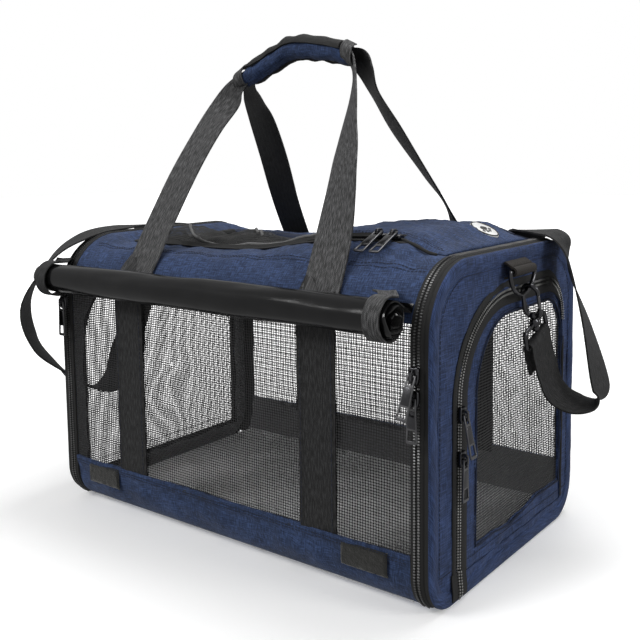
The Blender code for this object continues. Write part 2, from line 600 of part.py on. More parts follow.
SLIDER = slider_mesh("slider_along", False)
SLIDER_CROSS = slider_mesh("slider_across", True)
PULL_AXIS = 0.0056                      # pull's bar above the chain
pull_shape = [(-0.0038, 0.0008), (-0.0038, -0.0090), (-0.0050, -0.0330), (-0.0040, -0.0345),
              (0.0040, -0.0345), (0.0050, -0.0330), (0.0038, -0.0090), (0.0038, 0.0008)]
pull_window = [(-0.0024, -0.0008), (-0.0026, -0.0075), (0.0026, -0.0075), (0.0024, -0.0008)]
pull_node = plate("pull_pattern", pull_shape, [pull_window], (0, 0, 0), 0.0014, METAL, XZ, cutters)
bpy.context.view_layer.update()
PULL = bpy.data.meshes.new_from_object(
    pull_node.evaluated_get(bpy.context.evaluated_depsgraph_get()))
PULL.transform(pull_node.matrix_world)
pull_node.hide_render = True
pull_node.display_type = "WIRE"


def slider(name, frame, pull_turn, cross=False):
    """frame: origin on top of the chain, Z along it, -Y outwards."""
    place(f"{name}_slider", SLIDER_CROSS if cross else SLIDER, METAL).matrix_world = frame
    pull = place(f"{name}_pull", PULL, METAL)
    axis = Vector((0, -PULL_AXIS, 0)) + (CROSS_SHIFT if cross else Vector((0, 0, 0)))
    pull.matrix_world = frame @ Matrix.Translation(axis) @ pull_turn


def tipped(out, aside=0.0):
    """A pull hanging down, tipped outwards and aside by these degrees."""
    return (Matrix.Rotation(math.radians(aside), 4, "Y")
            @ Matrix.Rotation(math.radians(-out), 4, "X"))


front_y = -WIDTH / 2 - 0.0026
slider("corner_upper", Matrix.Translation((ZIP_X, front_y, 0.1965)), tipped(16, 6))
slider("corner_lower", Matrix.Translation((ZIP_X, front_y, 0.1785)), tipped(0))
slider("left_corner", Matrix.Translation((-ZIP_X, front_y, 0.2130)), tipped(0))
faces_right = Matrix.Rotation(math.pi / 2, 4, "Z")
door_y = DOOR_FRONT - 0.0027
slider("door_upper", Matrix.Translation((0.2222, door_y, 0.1560)) @ faces_right, tipped(12))
slider("door_lower", Matrix.Translation((0.2222, door_y, 0.1200)) @ faces_right, tipped(0))
on_roof = Matrix(((0, 0, 1, 0), (-1, 0, 0, 0), (0, -1, 0, 0), (0, 0, 0, 1)))
forward = (Matrix.Rotation(math.radians(24), 4, "Z")
           @ Matrix.Rotation(math.radians(-90), 4, "Y"))
for x, name in ((0.135, "hatch_left"), (0.150, "hatch_right")):
    top = HEIGHT + crown(x, -edge_y) + bead
    slider(name, Matrix.Translation((x, -edge_y, top)) @ on_roof, forward, True)
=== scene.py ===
"""Looks of the soft-sided pet carrier: cloth, nets, webbing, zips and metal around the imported
frame. Metres, +Z up. +X is the end with the zipped door, -Y the front."""
import math

import bpy
import numpy as np
from mathutils import Matrix, Vector


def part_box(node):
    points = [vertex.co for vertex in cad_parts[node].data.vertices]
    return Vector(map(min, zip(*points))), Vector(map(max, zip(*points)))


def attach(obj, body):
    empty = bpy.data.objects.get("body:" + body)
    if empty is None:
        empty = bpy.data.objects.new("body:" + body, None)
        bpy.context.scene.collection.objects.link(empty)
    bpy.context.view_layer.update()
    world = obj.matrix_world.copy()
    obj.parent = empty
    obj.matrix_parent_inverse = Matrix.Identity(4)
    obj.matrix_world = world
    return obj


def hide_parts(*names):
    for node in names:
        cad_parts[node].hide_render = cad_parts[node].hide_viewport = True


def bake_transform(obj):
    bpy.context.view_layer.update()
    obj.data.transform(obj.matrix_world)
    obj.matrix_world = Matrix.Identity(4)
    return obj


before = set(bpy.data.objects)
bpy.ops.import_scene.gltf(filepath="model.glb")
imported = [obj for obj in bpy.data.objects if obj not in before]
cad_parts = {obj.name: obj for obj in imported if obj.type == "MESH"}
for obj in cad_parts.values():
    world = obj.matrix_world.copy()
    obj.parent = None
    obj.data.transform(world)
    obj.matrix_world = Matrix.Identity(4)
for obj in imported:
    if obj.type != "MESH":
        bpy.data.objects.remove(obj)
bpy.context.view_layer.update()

# ---- sizes, read from the frame where it has them ----
SIDE_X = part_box("front_mesh")[1].x        # half length of the sides
HALF_W = -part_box("front_mesh")[0].y       # half width
HEIGHT = 0.28
R_TOP, R_BOTTOM = 0.06, 0.035            # corners of the end's outline
UNDER_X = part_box("bottom_panel")[1].x     # half length of the flat underside
BAND_TOP, MESH_TOP = 0.0505, 0.2345
WEB_X, WEB_TOP, WEB_WIDTH, WEB = 0.115, 0.25, 0.038, 0.0016
ZIP_X, END_FACE = 0.2106, 0.221          # the corner zips, and the ends
DOOR_FRONT, DOOR_REAR, DOOR_FOOT, DOOR_ZIP_FOOT = -0.092, 0.1116, 0.0205, 0.0225
ROLL_Y, ROLL_Z = 0.1585, 0.24
HATCH_X0, HATCH_X1, HATCH_Y, HATCH_SPLIT = -0.168, 0.185, 0.07, 0.055
HATCH_EDGE, HATCH_ZIP = 0.0082, 0.0052
FOOT_Y, FOOT_Z = 0.1325, 0.254
MIDDLE = (0.0, 0.0, HEIGHT / 2)
INSIDE = (0, 0, 0.12)                     # a point that the ends' cloth faces away from
OUT, UP = (1.0, 0.0, 0.0), (0.0, 0.0, 1.0)
HANDS, SIDES = ((1, "right"), (-1, "left")), ((1, "front"), (-1, "rear"))


# ---- node materials ----
class Shade:
    """A material under construction. Patterns read the UV map named metres."""

    def __init__(self, name):
        self.material = bpy.data.materials.new(name)
        self.material.use_nodes = True
        self.tree = self.material.node_tree
        self.surface = self.tree.nodes["Principled BSDF"]

    def add(self, kind, inputs=(), **settings):
        node = self.tree.nodes.new("ShaderNode" + kind)
        for key, value in settings.items():
            setattr(node, key, value)
        for key, value in dict(inputs).items():
            self.plug(node.inputs[key], value)
        return node

    def plug(self, socket, value):
        if isinstance(value, bpy.types.NodeSocket):
            self.tree.links.new(value, socket)
        else:
            socket.default_value = value

    def sum(self, op, *values):
        return self.add("Math", enumerate(values), operation=op).outputs[0]

    def mix(self, one, share, other, other_share):
        return self.sum("ADD", self.sum("MULTIPLY", one, share),
                        self.sum("MULTIPLY", other, other_share))

    def uv(self):
        """(u, v) in metres along the cloth."""
        cut = self.add("SeparateXYZ", {0: self.add("UVMap", uv_map="metres").outputs[0]})
        return cut.outputs[0], cut.outputs[1]

    def vector(self, x, y, z=0.0):
        return self.add("CombineXYZ", {0: x, 1: y, 2: z}).outputs[0]

    def noise(self, place, scale, detail=2.0, rough=0.5):
        node = self.add("TexNoise", {"Vector": place, "Scale": scale, "Detail": detail,
                                     "Roughness": rough})
        return node.outputs[0]

    def stretched(self, u, v, along, across, detail=2.0):
        """Noise with features of these sizes, in metres."""
        place = self.vector(self.sum("DIVIDE", u, along), self.sum("DIVIDE", v, across))
        return self.noise(place, 1.0, detail)

    def ramp(self, value, stops):
        node = self.add("ValToRGB", {0: value})
        band = node.color_ramp
        while len(band.elements) < len(stops):
            band.elements.new(0.5)
        for element, (at, colour) in zip(band.elements, stops):
            element.position = at
            element.color = (*colour, 1)
        return node.outputs[0]

    def wave(self, value, pitch, phase=0.0):
        """Sine of value with this pitch, 0 to 1."""
        turned = self.sum("MULTIPLY_ADD", value, 2 * math.pi / pitch, phase)
        return self.sum("MULTIPLY_ADD", self.sum("SINE", turned), 0.5, 0.5)

    def bump(self, height, distance, strength=1.0):
        node = self.add("Bump", {"Height": height, "Distance": distance, "Strength": strength})
        self.plug(self.surface.inputs["Normal"], node.outputs[0])

    def set(self, **values):
        for key, value in values.items():
            self.plug(self.surface.inputs[key.replace("_", " ")], value)


# ---- camera, floor and lights ----
CAMERA_AT, CAMERA_TURN = (0.556, -0.711, 0.365), (37.4, 6.3, -0.67)
SKY, REACH = 0.42, 6.0                    # the world's strength, and half the floor's width
LAMPS = (("key", (-0.7, -1.7, 1.5), 0.9, 22, (0, 0, 0.2)),
         ("side", (2.1, 0.2, 1.1), 0.8, 14, (0.1, 0, 0.15)),
         ("top", (0.1, 0.5, 2.2), 1.2, 22, (0, 0, 0.2)))


def linked(name, data):
    thing = bpy.data.objects.new(name, data)
    bpy.context.scene.collection.objects.link(thing)
    return thing


def look(yaw, pitch, roll):
    """Camera rotation. yaw turns left from +Y, pitch looks down, roll in the picture."""
    ahead = Vector((-math.sin(yaw) * math.cos(pitch), math.cos(yaw) * math.cos(pitch),
                    -math.sin(pitch)))
    right = ahead.cross(Vector((0, 0, 1))).normalized()
    up = right.cross(ahead)
    c, s = math.cos(roll), math.sin(roll)
    right, up = right * c + up * s, up * c - right * s
    return Matrix((right, up, -ahead)).transposed()


def make_stage():
    scene = bpy.context.scene
    data = bpy.data.cameras.new("camera")
    data.sensor_width, data.lens, data.shift_y = 36.0, 50.46, -0.1094
    data.clip_start = 0.01
    scene.camera = linked("camera", data)
    turn = look(*map(math.radians, CAMERA_TURN))
    scene.camera.matrix_world = Matrix.Translation(CAMERA_AT) @ turn.to_4x4()
    scene.view_settings.view_transform = "Standard"

    scene.world = bpy.data.worlds.new("studio")
    scene.world.use_nodes = True
    sky = scene.world.node_tree.nodes["Background"].inputs
    sky["Color"].default_value, sky["Strength"].default_value = (1, 1, 1, 1), SKY
    for name, place, size, power, aim in LAMPS:
        lamp = bpy.data.lights.new(name, "AREA")
        lamp.shape, lamp.size, lamp.energy = "DISK", size, power
        turned = (Vector(aim) - Vector(place)).to_track_quat("-Z", "Y").to_matrix().to_4x4()
        linked(name, lamp).matrix_world = Matrix.Translation(place) @ turned

    square = [(x * REACH, y * REACH) for x, y in ((-1, -1), (1, -1), (1, 1), (-1, 1))]
    floor = bpy.data.meshes.new("floor")
    floor.from_pydata([(*corner, 0) for corner in square], [], [(0, 1, 2, 3)])
    ground = linked("floor", floor)
    ground.location.z = -0.0004
    # The floor glows less near the bag, a painted shadow round it, and turns into the white of the
    # backdrop away from the bag.
    paint = Shade("floor")
    away = paint.add("VectorMath", {0: paint.add("TexCoord").outputs["Object"]}, operation="LENGTH")
    painted_shadow_glow = paint.add("MapRange", {"Value": away.outputs["Value"], "From Min": 0.35, "From Max": 1.6,
                                  "To Min": 0.24, "To Max": 1.0})
    paint.set(Base_Color=(0.92, 0.92, 0.92, 1), Roughness=0.6, Emission_Color=(1, 1, 1, 1),
              Emission_Strength=painted_shadow_glow.outputs["Result"])
    floor.materials.append(paint.material)

    # A white backdrop that only the camera sees, so that it doesn't flood the bag with light.
    far = bpy.data.meshes.new("backdrop")
    far.from_pydata([(*corner, z) for corner in square for z in (-0.5, 7.0)], [],
                    [(0, 1, 3, 2), (2, 3, 5, 4), (4, 5, 7, 6), (6, 7, 1, 0), (1, 3, 5, 7)])
    backdrop = linked("backdrop", far)
    glow = Shade("backdrop")
    glow.set(Base_Color=(0, 0, 0, 1), Specular_IOR_Level=0.0, Emission_Color=(1, 1, 1, 1),
             Emission_Strength=1.0)
    far.materials.append(glow.material)
    for thing in (backdrop, ground):
        thing.visible_diffuse = thing.visible_glossy = thing.visible_transmission = False
    backdrop.visible_shadow = False


make_stage()


# ---- cloths, metals and the badge ----
def darker(colour, share):
    return tuple(c * share for c in colour)


def heathered(name, colour, light=2.1, dark=0.52, along=0.01, lines=0.0008):
    """Melange woven polyester: fine broken streaks along and across the cloth."""
    m = Shade(name)
    u, v = m.uv()
    warp = m.stretched(u, v, along, lines)
    weft = m.stretched(u, v, lines, along * 0.7)
    streaks = m.mix(warp, 0.5, weft, 0.5)
    cloud = m.stretched(u, v, 0.05, 0.04, 3.0)
    value = m.sum("ADD", streaks, m.sum("MULTIPLY_ADD", cloud, 0.22, -0.11))
    tone = m.ramp(value, [(0.38, darker(colour, dark)), (0.5, colour),
                          (0.63, darker(colour, light))])
    weave = m.sum("MULTIPLY", m.wave(u, 0.0009), m.wave(v, 0.0009))
    height = m.sum("ADD", weave, m.sum("MULTIPLY", streaks, 1.6))
    m.set(Base_Color=tone, Roughness=0.86, Sheen_Weight=0.06, Sheen_Roughness=0.5,
          Specular_IOR_Level=0.25)
    m.bump(height, 0.00016, 0.8)
    return m.material


def open_net(name, pitch_u, pitch_v, hole, colour=(0.012, 0.012, 0.013)):
    """Open net: square holes with soft corners, between dark threads."""
    m = Shade(name)
    u, v = m.uv()
    parts = []
    for value, pitch in ((u, pitch_u), (v, pitch_v)):
        cell = m.sum("FRACT", m.sum("DIVIDE", value, pitch))
        away = m.sum("ABSOLUTE", m.sum("SUBTRACT", cell, 0.5))
        parts.append(m.sum("POWER", away, 3.0))
    inside = m.sum("LESS_THAN", m.sum("ADD", *parts), (hole / 2) ** 3)
    m.set(Base_Color=(*colour, 1), Roughness=0.55, Alpha=m.sum("SUBTRACT", 1.0, inside))
    return m.material


def ribbed(name, colour, gloss=0.62):
    """Webbing: fine ribs in a herringbone, and streaks along the yarn."""
    m = Shade(name)
    u, v = m.uv()
    fold = m.sum("ABSOLUTE", m.sum("SUBTRACT", m.sum("FRACT", m.sum("DIVIDE", v, 0.0052)), 0.5))
    slant = m.sum("ADD", u, m.sum("MULTIPLY", fold, 0.0044))
    rib = m.wave(slant, 0.0013)
    warp = m.wave(v, 0.0011)
    pick = m.stretched(u, v, 0.007, 0.0012)
    height = m.mix(rib, 0.7, warp, 0.5)
    tone = m.ramp(m.mix(height, 0.2, pick, 0.78),
                  [(0.4, darker(colour, 0.35)), (0.52, colour), (0.64, darker(colour, 2.6))])
    m.set(Base_Color=tone, Roughness=gloss, Sheen_Weight=0.02, Specular_IOR_Level=0.3)
    m.bump(height, 0.00022, 0.9)
    return m.material


def coated(name):
    """Coated cloth, black and smooth, with soft drags and dents."""
    m = Shade(name)
    u, v = m.uv()
    drag = m.stretched(u, v, 0.12, 0.006, 3.0)
    dent = m.stretched(u, v, 0.03, 0.018, 3.0)
    grain = m.stretched(u, v, 0.0006, 0.0006, 1.0)
    tone = m.ramp(dent, [(0.3, (0.0025, 0.0025, 0.0028)), (0.7, (0.006, 0.006, 0.0065))])
    m.set(Base_Color=tone, Roughness=m.sum("MULTIPLY_ADD", drag, 0.16, 0.08), Specular_IOR_Level=0.4)
    m.bump(m.mix(m.mix(drag, 0.7, dent, 1.0), 1.0, grain, 0.05), 0.0012, 0.35)
    return m.material


def fine_woven(name, colour, pitch=0.0007, rough=0.8):
    """Plain tape, thread or lining."""
    m = Shade(name)
    u, v = m.uv()
    weave = m.sum("MULTIPLY", m.wave(u, pitch), m.wave(v, pitch))
    value = m.mix(weave, 0.4, m.stretched(u, v, 0.004, 0.0006), 0.6)
    tone = m.ramp(value, [(0.2, darker(colour, 0.6)), (0.8, darker(colour, 1.5))])
    m.set(Base_Color=tone, Roughness=rough)
    m.bump(weave, 0.00012, 0.8)
    return m.material


def fuzzy(name, colour, grain, light=1.9):
    """Pile: loops of hook-and-loop, or a brushed mat."""
    m = Shade(name)
    place = m.add("TexCoord").outputs["Object"]
    tuft = m.noise(place, 1 / grain, 3.0, 0.7)
    value = m.mix(tuft, 0.7, m.noise(place, 28.0, 3.0), 0.3)
    tone = m.ramp(value, [(0.32, darker(colour, 0.45)), (0.68, darker(colour, light))])
    m.set(Base_Color=tone, Roughness=0.95, Sheen_Weight=0.3)
    m.bump(tuft, 0.0008, 0.8)
    return m.material


def metal(name, colour, rough=0.22, brushed=0.0):
    """Plated metal with faint handling marks, worn a little brighter in patches."""
    m = Shade(name)
    place = m.add("TexCoord").outputs["Object"]
    rub = m.noise(place, 260.0, 4.0, 0.6)
    spot = m.noise(place, 60.0, 2.0)
    tone = m.ramp(spot, [(0.35, darker(colour, 0.75)), (0.65, darker(colour, 1.25))])
    m.set(Base_Color=tone, Metallic=1.0, Roughness=m.sum("MULTIPLY_ADD", rub, 0.25, rough - 0.1))
    if brushed:
        long = m.add("Mapping", {"Vector": place, "Scale": (1600.0, 1600.0, 40.0)}).outputs[0]
        m.bump(m.noise(long, 1.0, 2.0), 0.0002, brushed)
    else:
        m.bump(rub, 0.0001, 0.3)
    return m.material


def glossy(name, colour, rough=0.3):
    m = Shade(name)
    place = m.add("TexCoord").outputs["Object"]
    spot = m.noise(place, 90.0, 3.0)
    tone = m.ramp(spot, [(0.3, darker(colour, 0.93)), (0.7, colour)])
    m.set(Base_Color=tone, Roughness=m.sum("MULTIPLY_ADD", spot, 0.12, rough - 0.06),
          Coat_Weight=0.3)
    m.bump(m.noise(place, 900.0, 2.0), 0.00004, 0.4)
    return m.material


NAVY = heathered("navy_cloth", (0.0245, 0.042, 0.098))
NAVY_END = heathered("navy_cloth_end", (0.0245, 0.0425, 0.108), along=0.014)
NAVY_DEEP = heathered("navy_cloth_seam", (0.01, 0.017, 0.042), light=1.5)
NET = open_net("side_net", 0.0026, 0.0024, 0.78)
NET_DOOR = open_net("door_net", 0.0026, 0.0025, 0.72)
NET_TOP = open_net("roof_net", 0.002, 0.002, 0.56, (0.013, 0.013, 0.013))
WEBBING = ribbed("webbing_black", (0.0145, 0.0145, 0.015))
# A lighter copy of the black webbing, painted light: for the front handle, the grip's collars and the
# right-hand roll loops.
WEBBING_PAINTED_LIGHT = ribbed("webbing_painted_light", (0.046, 0.046, 0.047))
# A darker and glossier copy of the black webbing, its darkness painted shade: for the rear handle and
# the rear sewn webbing.
WEBBING_PAINTED_SHADE = ribbed("webbing_satin_painted_shade", (0.0065, 0.0065, 0.0068), 0.5)
TAB = fine_woven("tab_cloth", (0.02, 0.016, 0.013))
COATED = coated("coated_cloth")
BACKING = fine_woven("curtain_back", (0.02, 0.02, 0.02))
TAPE = fine_woven("zip_tape", (0.0095, 0.0095, 0.0095))
LINING = fine_woven("lining", (0.24, 0.24, 0.245))
THREAD_DARK = fine_woven("thread_dark", (0.01, 0.014, 0.032), 0.0004)
# Grey for the painted highlights along the crests of the hatch net's folds.
NET_FOLD_PAINTED_HIGHLIGHT = fine_woven("net_fold_painted_highlight", (0.16, 0.16, 0.16), 0.0004)
VELCRO = fuzzy("hook_pile", (0.011, 0.011, 0.0095), 0.0016)
FELT = fuzzy("mat_pile", (0.64, 0.642, 0.648), 0.0016, 1.22)
GUNMETAL = metal("gunmetal", (0.085, 0.085, 0.09), 0.18)
BRUSHED = metal("brushed_pull", (0.15, 0.15, 0.155), 0.28, 0.5)
TEETH = metal("teeth_grey", (0.16, 0.16, 0.16), 0.4)
TEETH_BRIGHT = metal("teeth_bright", (0.45, 0.45, 0.44), 0.34)
BADGE = glossy("badge_white", (0.86, 0.86, 0.85))
BADGE_INK = glossy("badge_ink", (0.012, 0.012, 0.013), 0.4)


# ---- mesh tools ----
def mesh_piece(name, points, faces, mats, uv=None, face_mats=None, sharp=38.0):
    data = bpy.data.meshes.new(name)
    data.from_pydata([tuple(map(float, p)) for p in points], [], [tuple(map(int, f)) for f in faces])
    for mat in mats:
        data.materials.append(mat)
    if face_mats is not None:
        data.polygons.foreach_set("material_index", np.asarray(face_mats, np.int32))
    if uv is not None:
        layer = data.uv_layers.new(name="metres")
        corners = np.zeros(len(data.loops), np.int32)
        data.loops.foreach_get("vertex_index", corners)
        layer.data.foreach_set("uv", np.asarray(uv, np.float32)[corners].ravel())
    data.polygons.foreach_set("use_smooth", [True] * len(data.polygons))
    data.set_sharp_from_angle(angle=math.radians(sharp))
    return linked(name, data)


def xyz(x, y, z):
    """Points from their X, Y and Z, any of which may be one number for all."""
    return np.stack(np.broadcast_arrays(x, y, z), -1)


def unit(vectors):
    return vectors / np.maximum(np.linalg.norm(vectors, axis=-1, keepdims=True), 1e-12)


def normals_of(points):
    return unit(np.cross(np.gradient(points, axis=1), np.gradient(points, axis=0)))


def metres_uv(points):
    """Distances along the rows and columns of a grid, so that patterns keep their size."""
    u = np.concatenate([np.zeros((points.shape[0], 1)),
                        np.cumsum(np.linalg.norm(np.diff(points, axis=1), axis=-1), 1)], 1)
    v = np.concatenate([np.zeros((1, points.shape[1])),
                        np.cumsum(np.linalg.norm(np.diff(points, axis=0), axis=-1), 0)], 0)
    u -= u[:, u.shape[1] // 2][:, None]
    return np.stack([u, v], -1)


def grid(name, points, mats, thick=0.0, uv=None, skip=None, away=MIDDLE, sharp=38.0):
    """A sheet through rows of points, facing away from a point, its thickness behind it.
    mats are the front's and the back's. skip marks cells left out."""
    points = np.asarray(points, float)
    uv = metres_uv(points) if uv is None else uv
    normal = normals_of(points)
    if away is not None and (normal * (points - away)).sum() < 0:
        points, uv, normal = points[::-1], uv[::-1], -normal[::-1]
        skip = None if skip is None else skip[::-1]
    rows, columns = points.shape[:2]
    corner = np.arange(rows * columns).reshape(rows, columns)
    cells = np.stack([corner[:-1, :-1], corner[:-1, 1:], corner[1:, 1:], corner[1:, :-1]], -1)
    cells = cells[~skip] if skip is not None else cells.reshape(-1, 4)
    used, cells = np.unique(cells, return_inverse=True)
    cells = cells.reshape(-1, 4)
    front = points.reshape(-1, 3)[used]
    flat_uv = uv.reshape(-1, 2)[used]
    if not thick:
        return mesh_piece(name, front, cells, mats[:1], flat_uv, sharp=sharp)
    count = len(front)
    back = front - normal.reshape(-1, 3)[used] * thick
    edges = np.concatenate([cells[:, [k, (k + 1) % 4]] for k in range(4)])
    key = np.sort(edges, 1)
    _, first, uses = np.unique(key, axis=0, return_index=True, return_counts=True)
    rim = edges[first[uses == 1]]
    rim = np.stack([rim[:, 1], rim[:, 0], rim[:, 0] + count, rim[:, 1] + count], 1)
    faces = np.concatenate([cells, cells[:, ::-1] + count, rim])
    face_mats = np.concatenate([np.zeros(len(cells)), np.full(len(cells), len(mats) > 1),
                                np.zeros(len(rim))])
    return mesh_piece(name, np.concatenate([front, back]), faces, mats,
                      np.concatenate([flat_uv, flat_uv]), face_mats, sharp)


def through(points, per):
    """Catmull-Rom curve through rows of numbers."""
    points = np.asarray(points, float)
    padded = np.concatenate([points[:1], points, points[-1:]])
    out = []
    for i in range(len(points) - 1):
        a, b, c, d = padded[i:i + 4]
        for t in np.arange(per) / per:
            out.append(0.5 * (2 * b + (c - a) * t + (2 * a - 5 * b + 4 * c - d) * t * t
                              + (3 * b - a - 3 * c + d) * t**3))
    return np.array(out + [points[-1]])


def lengths(path):
    return np.concatenate([[0], np.cumsum(np.linalg.norm(np.diff(path, axis=0), axis=1))])


def resample(path, step, closed=False):
    """The same line with points step apart."""
    path = np.asarray(path, float)
    if closed:
        path = np.concatenate([path, path[:1]])
    far = lengths(path[:, :3])
    count = max(2, int(round(far[-1] / step)) + 1)
    at = np.linspace(0, far[-1], count)
    out = np.stack([np.interp(at, far, path[:, k]) for k in range(path.shape[1])], 1)
    return out[:-1] if closed else out


def frames_along(path, closed=False, start=(0.3, 0.2, 1.0)):
    """Tangent and two sides at each point, turning as little as they can."""
    path = np.asarray(path, float)
    ahead = np.roll(path, -1, 0) - np.roll(path, 1, 0)
    if not closed:
        ahead[0], ahead[-1] = path[1] - path[0], path[-1] - path[-2]
    ahead = unit(ahead)
    sides, side = [], np.array(start, float)
    for t in ahead:
        side = side - t * side.dot(t)
        side /= np.linalg.norm(side)
        sides.append(side)
    sides = np.array(sides)
    return ahead, sides, np.cross(ahead, sides)


def tube(name, path, radius, mats, sides=12, closed=False, start=(0.3, 0.2, 1.0)):
    """A round bar along a path."""
    path = np.asarray(path, float)
    radius = np.broadcast_to(np.asarray(radius, float), (len(path),)).copy()
    if not closed:
        step = radius[0] * 0.6
        a, b = unit(path[0] - path[1]), unit(path[-1] - path[-2])
        path = np.concatenate([[path[0] + a * step], path, [path[-1] + b * step]])
        radius = np.concatenate([[radius[0] * 0.5], radius, [radius[-1] * 0.5]])
    _, one, two = frames_along(path, closed, start)
    turns = np.linspace(0, 2 * np.pi, sides, endpoint=False)
    ring = (one[:, None] * np.cos(turns)[None, :, None]
            + two[:, None] * np.sin(turns)[None, :, None])
    points = (path[:, None] + ring * radius[:, None, None]).reshape(-1, 3)
    along = lengths(path)
    uv = np.stack(np.broadcast_arrays(along[:, None], turns[None] * radius.mean()), -1)
    faces = []
    for r in range(len(path) if closed else len(path) - 1):
        a, b = r * sides, (r + 1) % len(path) * sides
        faces += [(a + i, a + (i + 1) % sides, b + (i + 1) % sides, b + i) for i in range(sides)]
    if not closed:
        faces += [tuple(range(sides))[::-1], tuple(range(len(points) - sides, len(points)))]
    return mesh_piece(name, points, faces, mats, uv.reshape(-1, 2), sharp=50)


def ribbon(name, path, across, widths, mats, thick=WEB, columns=6, cup=0.0, ahead=None):
    """Flat webbing along a path. across is its side direction, or one for each point."""
    path = np.asarray(path, float)
    across = np.broadcast_to(np.asarray(across, float), path.shape)
    ahead = np.gradient(path, axis=0) if ahead is None else ahead
    side = unit(across - ahead * ((across * ahead).sum(1) / (ahead**2).sum(1))[:, None])
    half = np.broadcast_to(np.asarray(widths, float) / 2, (len(path),))
    v = np.linspace(-1, 1, columns + 1)
    up = unit(np.cross(side, ahead))
    bow = np.broadcast_to(np.asarray(cup, float), (len(path),))
    points = (path[:, None] + side[:, None] * (v[None, :, None] * half[:, None, None])
              + up[:, None] * ((1 - v**2)[None, :, None] * bow[:, None, None] + thick / 2))
    uv = np.stack(np.broadcast_arrays(lengths(path)[:, None], v[None] * half[:, None]), -1)
    if (normals_of(points) * up[:, None]).sum() < 0:
        points, uv = points[:, ::-1], uv[:, ::-1]
    return grid(name, points, mats, thick, uv, away=None, sharp=60)


def plate(name, outline, holes, thick, bevel, mats):
    """A flat piece with soft edges, drawn in X and Y."""
    flat = bpy.data.curves.new(name, "CURVE")
    flat.dimensions, flat.fill_mode = "2D", "BOTH"
    for loop in [outline, *holes]:
        spline = flat.splines.new("POLY")
        spline.points.add(len(loop) - 1)
        for point, (u, v) in zip(spline.points, loop):
            point.co = (u, v, 0, 1)
        spline.use_cyclic_u = True
    flat.extrude, flat.bevel_depth, flat.bevel_resolution = thick / 2 - bevel, bevel, 2
    flat.offset = -bevel
    drawn = bpy.data.objects.new(name + "_drawn", flat)
    data = bpy.data.meshes.new_from_object(drawn)
    bpy.data.objects.remove(drawn)
    points = np.array([v.co for v in data.vertices])
    _, index, back = np.unique(np.round(points, 6), axis=0, return_index=True, return_inverse=True)
    back = back.reshape(-1)
    faces = []
    for polygon in data.polygons:
        face = [int(back[i]) for i in polygon.vertices]
        face = [k for n, k in enumerate(face) if k != face[n - 1]]
        if len(face) > 2:
            faces.append(face)
    kept = points[index]
    return mesh_piece(name, kept, faces, mats, kept[:, :2], sharp=30)


def arc(centre, radii, start, end, steps):
    turns = np.radians(np.linspace(start, end, steps + 1))
    return np.stack([centre[0] + radii[0] * np.cos(turns), centre[1] + radii[1] * np.sin(turns)], 1)


def waves(points, size, seed, octaves=3):
    """Smooth noise of about -1 to 1, with features of about size."""
    points = np.asarray(points, float)
    rng = np.random.default_rng(seed)
    total = np.zeros(points.shape[:-1])
    for octave in range(octaves):
        for _ in range(7):
            way = unit(rng.normal(size=points.shape[-1]))
            way *= 2 * np.pi / size * 2**octave * rng.uniform(0.7, 1.3)
            total += np.sin(points @ way + rng.uniform(0, 2 * np.pi)) * 0.5**octave
    return total / 3.2


def ease(value, start, end):
    t = np.clip((np.asarray(value, float) - start) / (end - start), 0, 1)
    return t * t * (3 - 2 * t)


def bell(value, middle, width):
    return np.exp(-(((np.asarray(value, float) - middle) / width) ** 2))


def put(piece, body, slot, *nodes):
    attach(piece, body)
    if nodes:
        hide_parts(*nodes)
    return piece


def join(name, pieces):
    """One piece from several, keeping their materials."""
    points, faces, uvs, mats, face_mats = [], [], [], [], []
    start = 0
    for piece in pieces:
        data = piece.data
        points.append(np.array([piece.matrix_world @ v.co for v in data.vertices]))
        own = [mats.index(m) if m in mats else mats.append(m) or len(mats) - 1
               for m in data.materials]
        layer = data.uv_layers.get("metres")
        uv = np.zeros((len(data.vertices), 2))
        if layer:
            for loop in data.loops:
                uv[loop.vertex_index] = layer.data[loop.index].uv
        uvs.append(uv)
        faces += [[i + start for i in p.vertices] for p in data.polygons]
        face_mats += [own[p.material_index] for p in data.polygons]
        start += len(data.vertices)
        bpy.data.objects.remove(piece)
    return mesh_piece(name, np.concatenate(points), faces, mats, np.concatenate(uvs), face_mats)


def bars(name, places, ahead, side, up, size, mats, taper=0.5):
    """Many small bars, such as teeth or stitches: size is along, across and up."""
    count = len(places)
    size = np.broadcast_to(np.asarray(size, float), (count, 3))
    box_points = np.array([(-1, -taper, 0), (-1, taper, 0), (-1, taper, 0.7), (-1, -taper, 0.7),
                           (0, -1, 0), (0, 1, 0), (0, 1, 1), (0, -1, 1),
                           (1, -taper, 0), (1, taper, 0), (1, taper, 0.7), (1, -taper, 0.7)])
    corner = box_points[None] * np.stack([size[:, 0] / 2, size[:, 1] / 2, size[:, 2]], 1)[:, None]
    points = (places[:, None] + ahead[:, None] * corner[..., :1] + side[:, None] * corner[..., 1:2]
              + up[:, None] * corner[..., 2:])
    shape = [(3, 2, 1, 0), (8, 9, 10, 11)]
    for a in (0, 4):
        shape += [(a, a + 1, a + 5, a + 4), (a + 1, a + 2, a + 6, a + 5),
                  (a + 2, a + 3, a + 7, a + 6), (a + 3, a, a + 4, a + 7)]
    faces = (np.array(shape)[None] + 12 * np.arange(count)[:, None, None]).reshape(-1, 4)
    uv = points.reshape(-1, 3)[:, :2]
    return mesh_piece(name, points.reshape(-1, 3), faces, mats, uv, sharp=25)


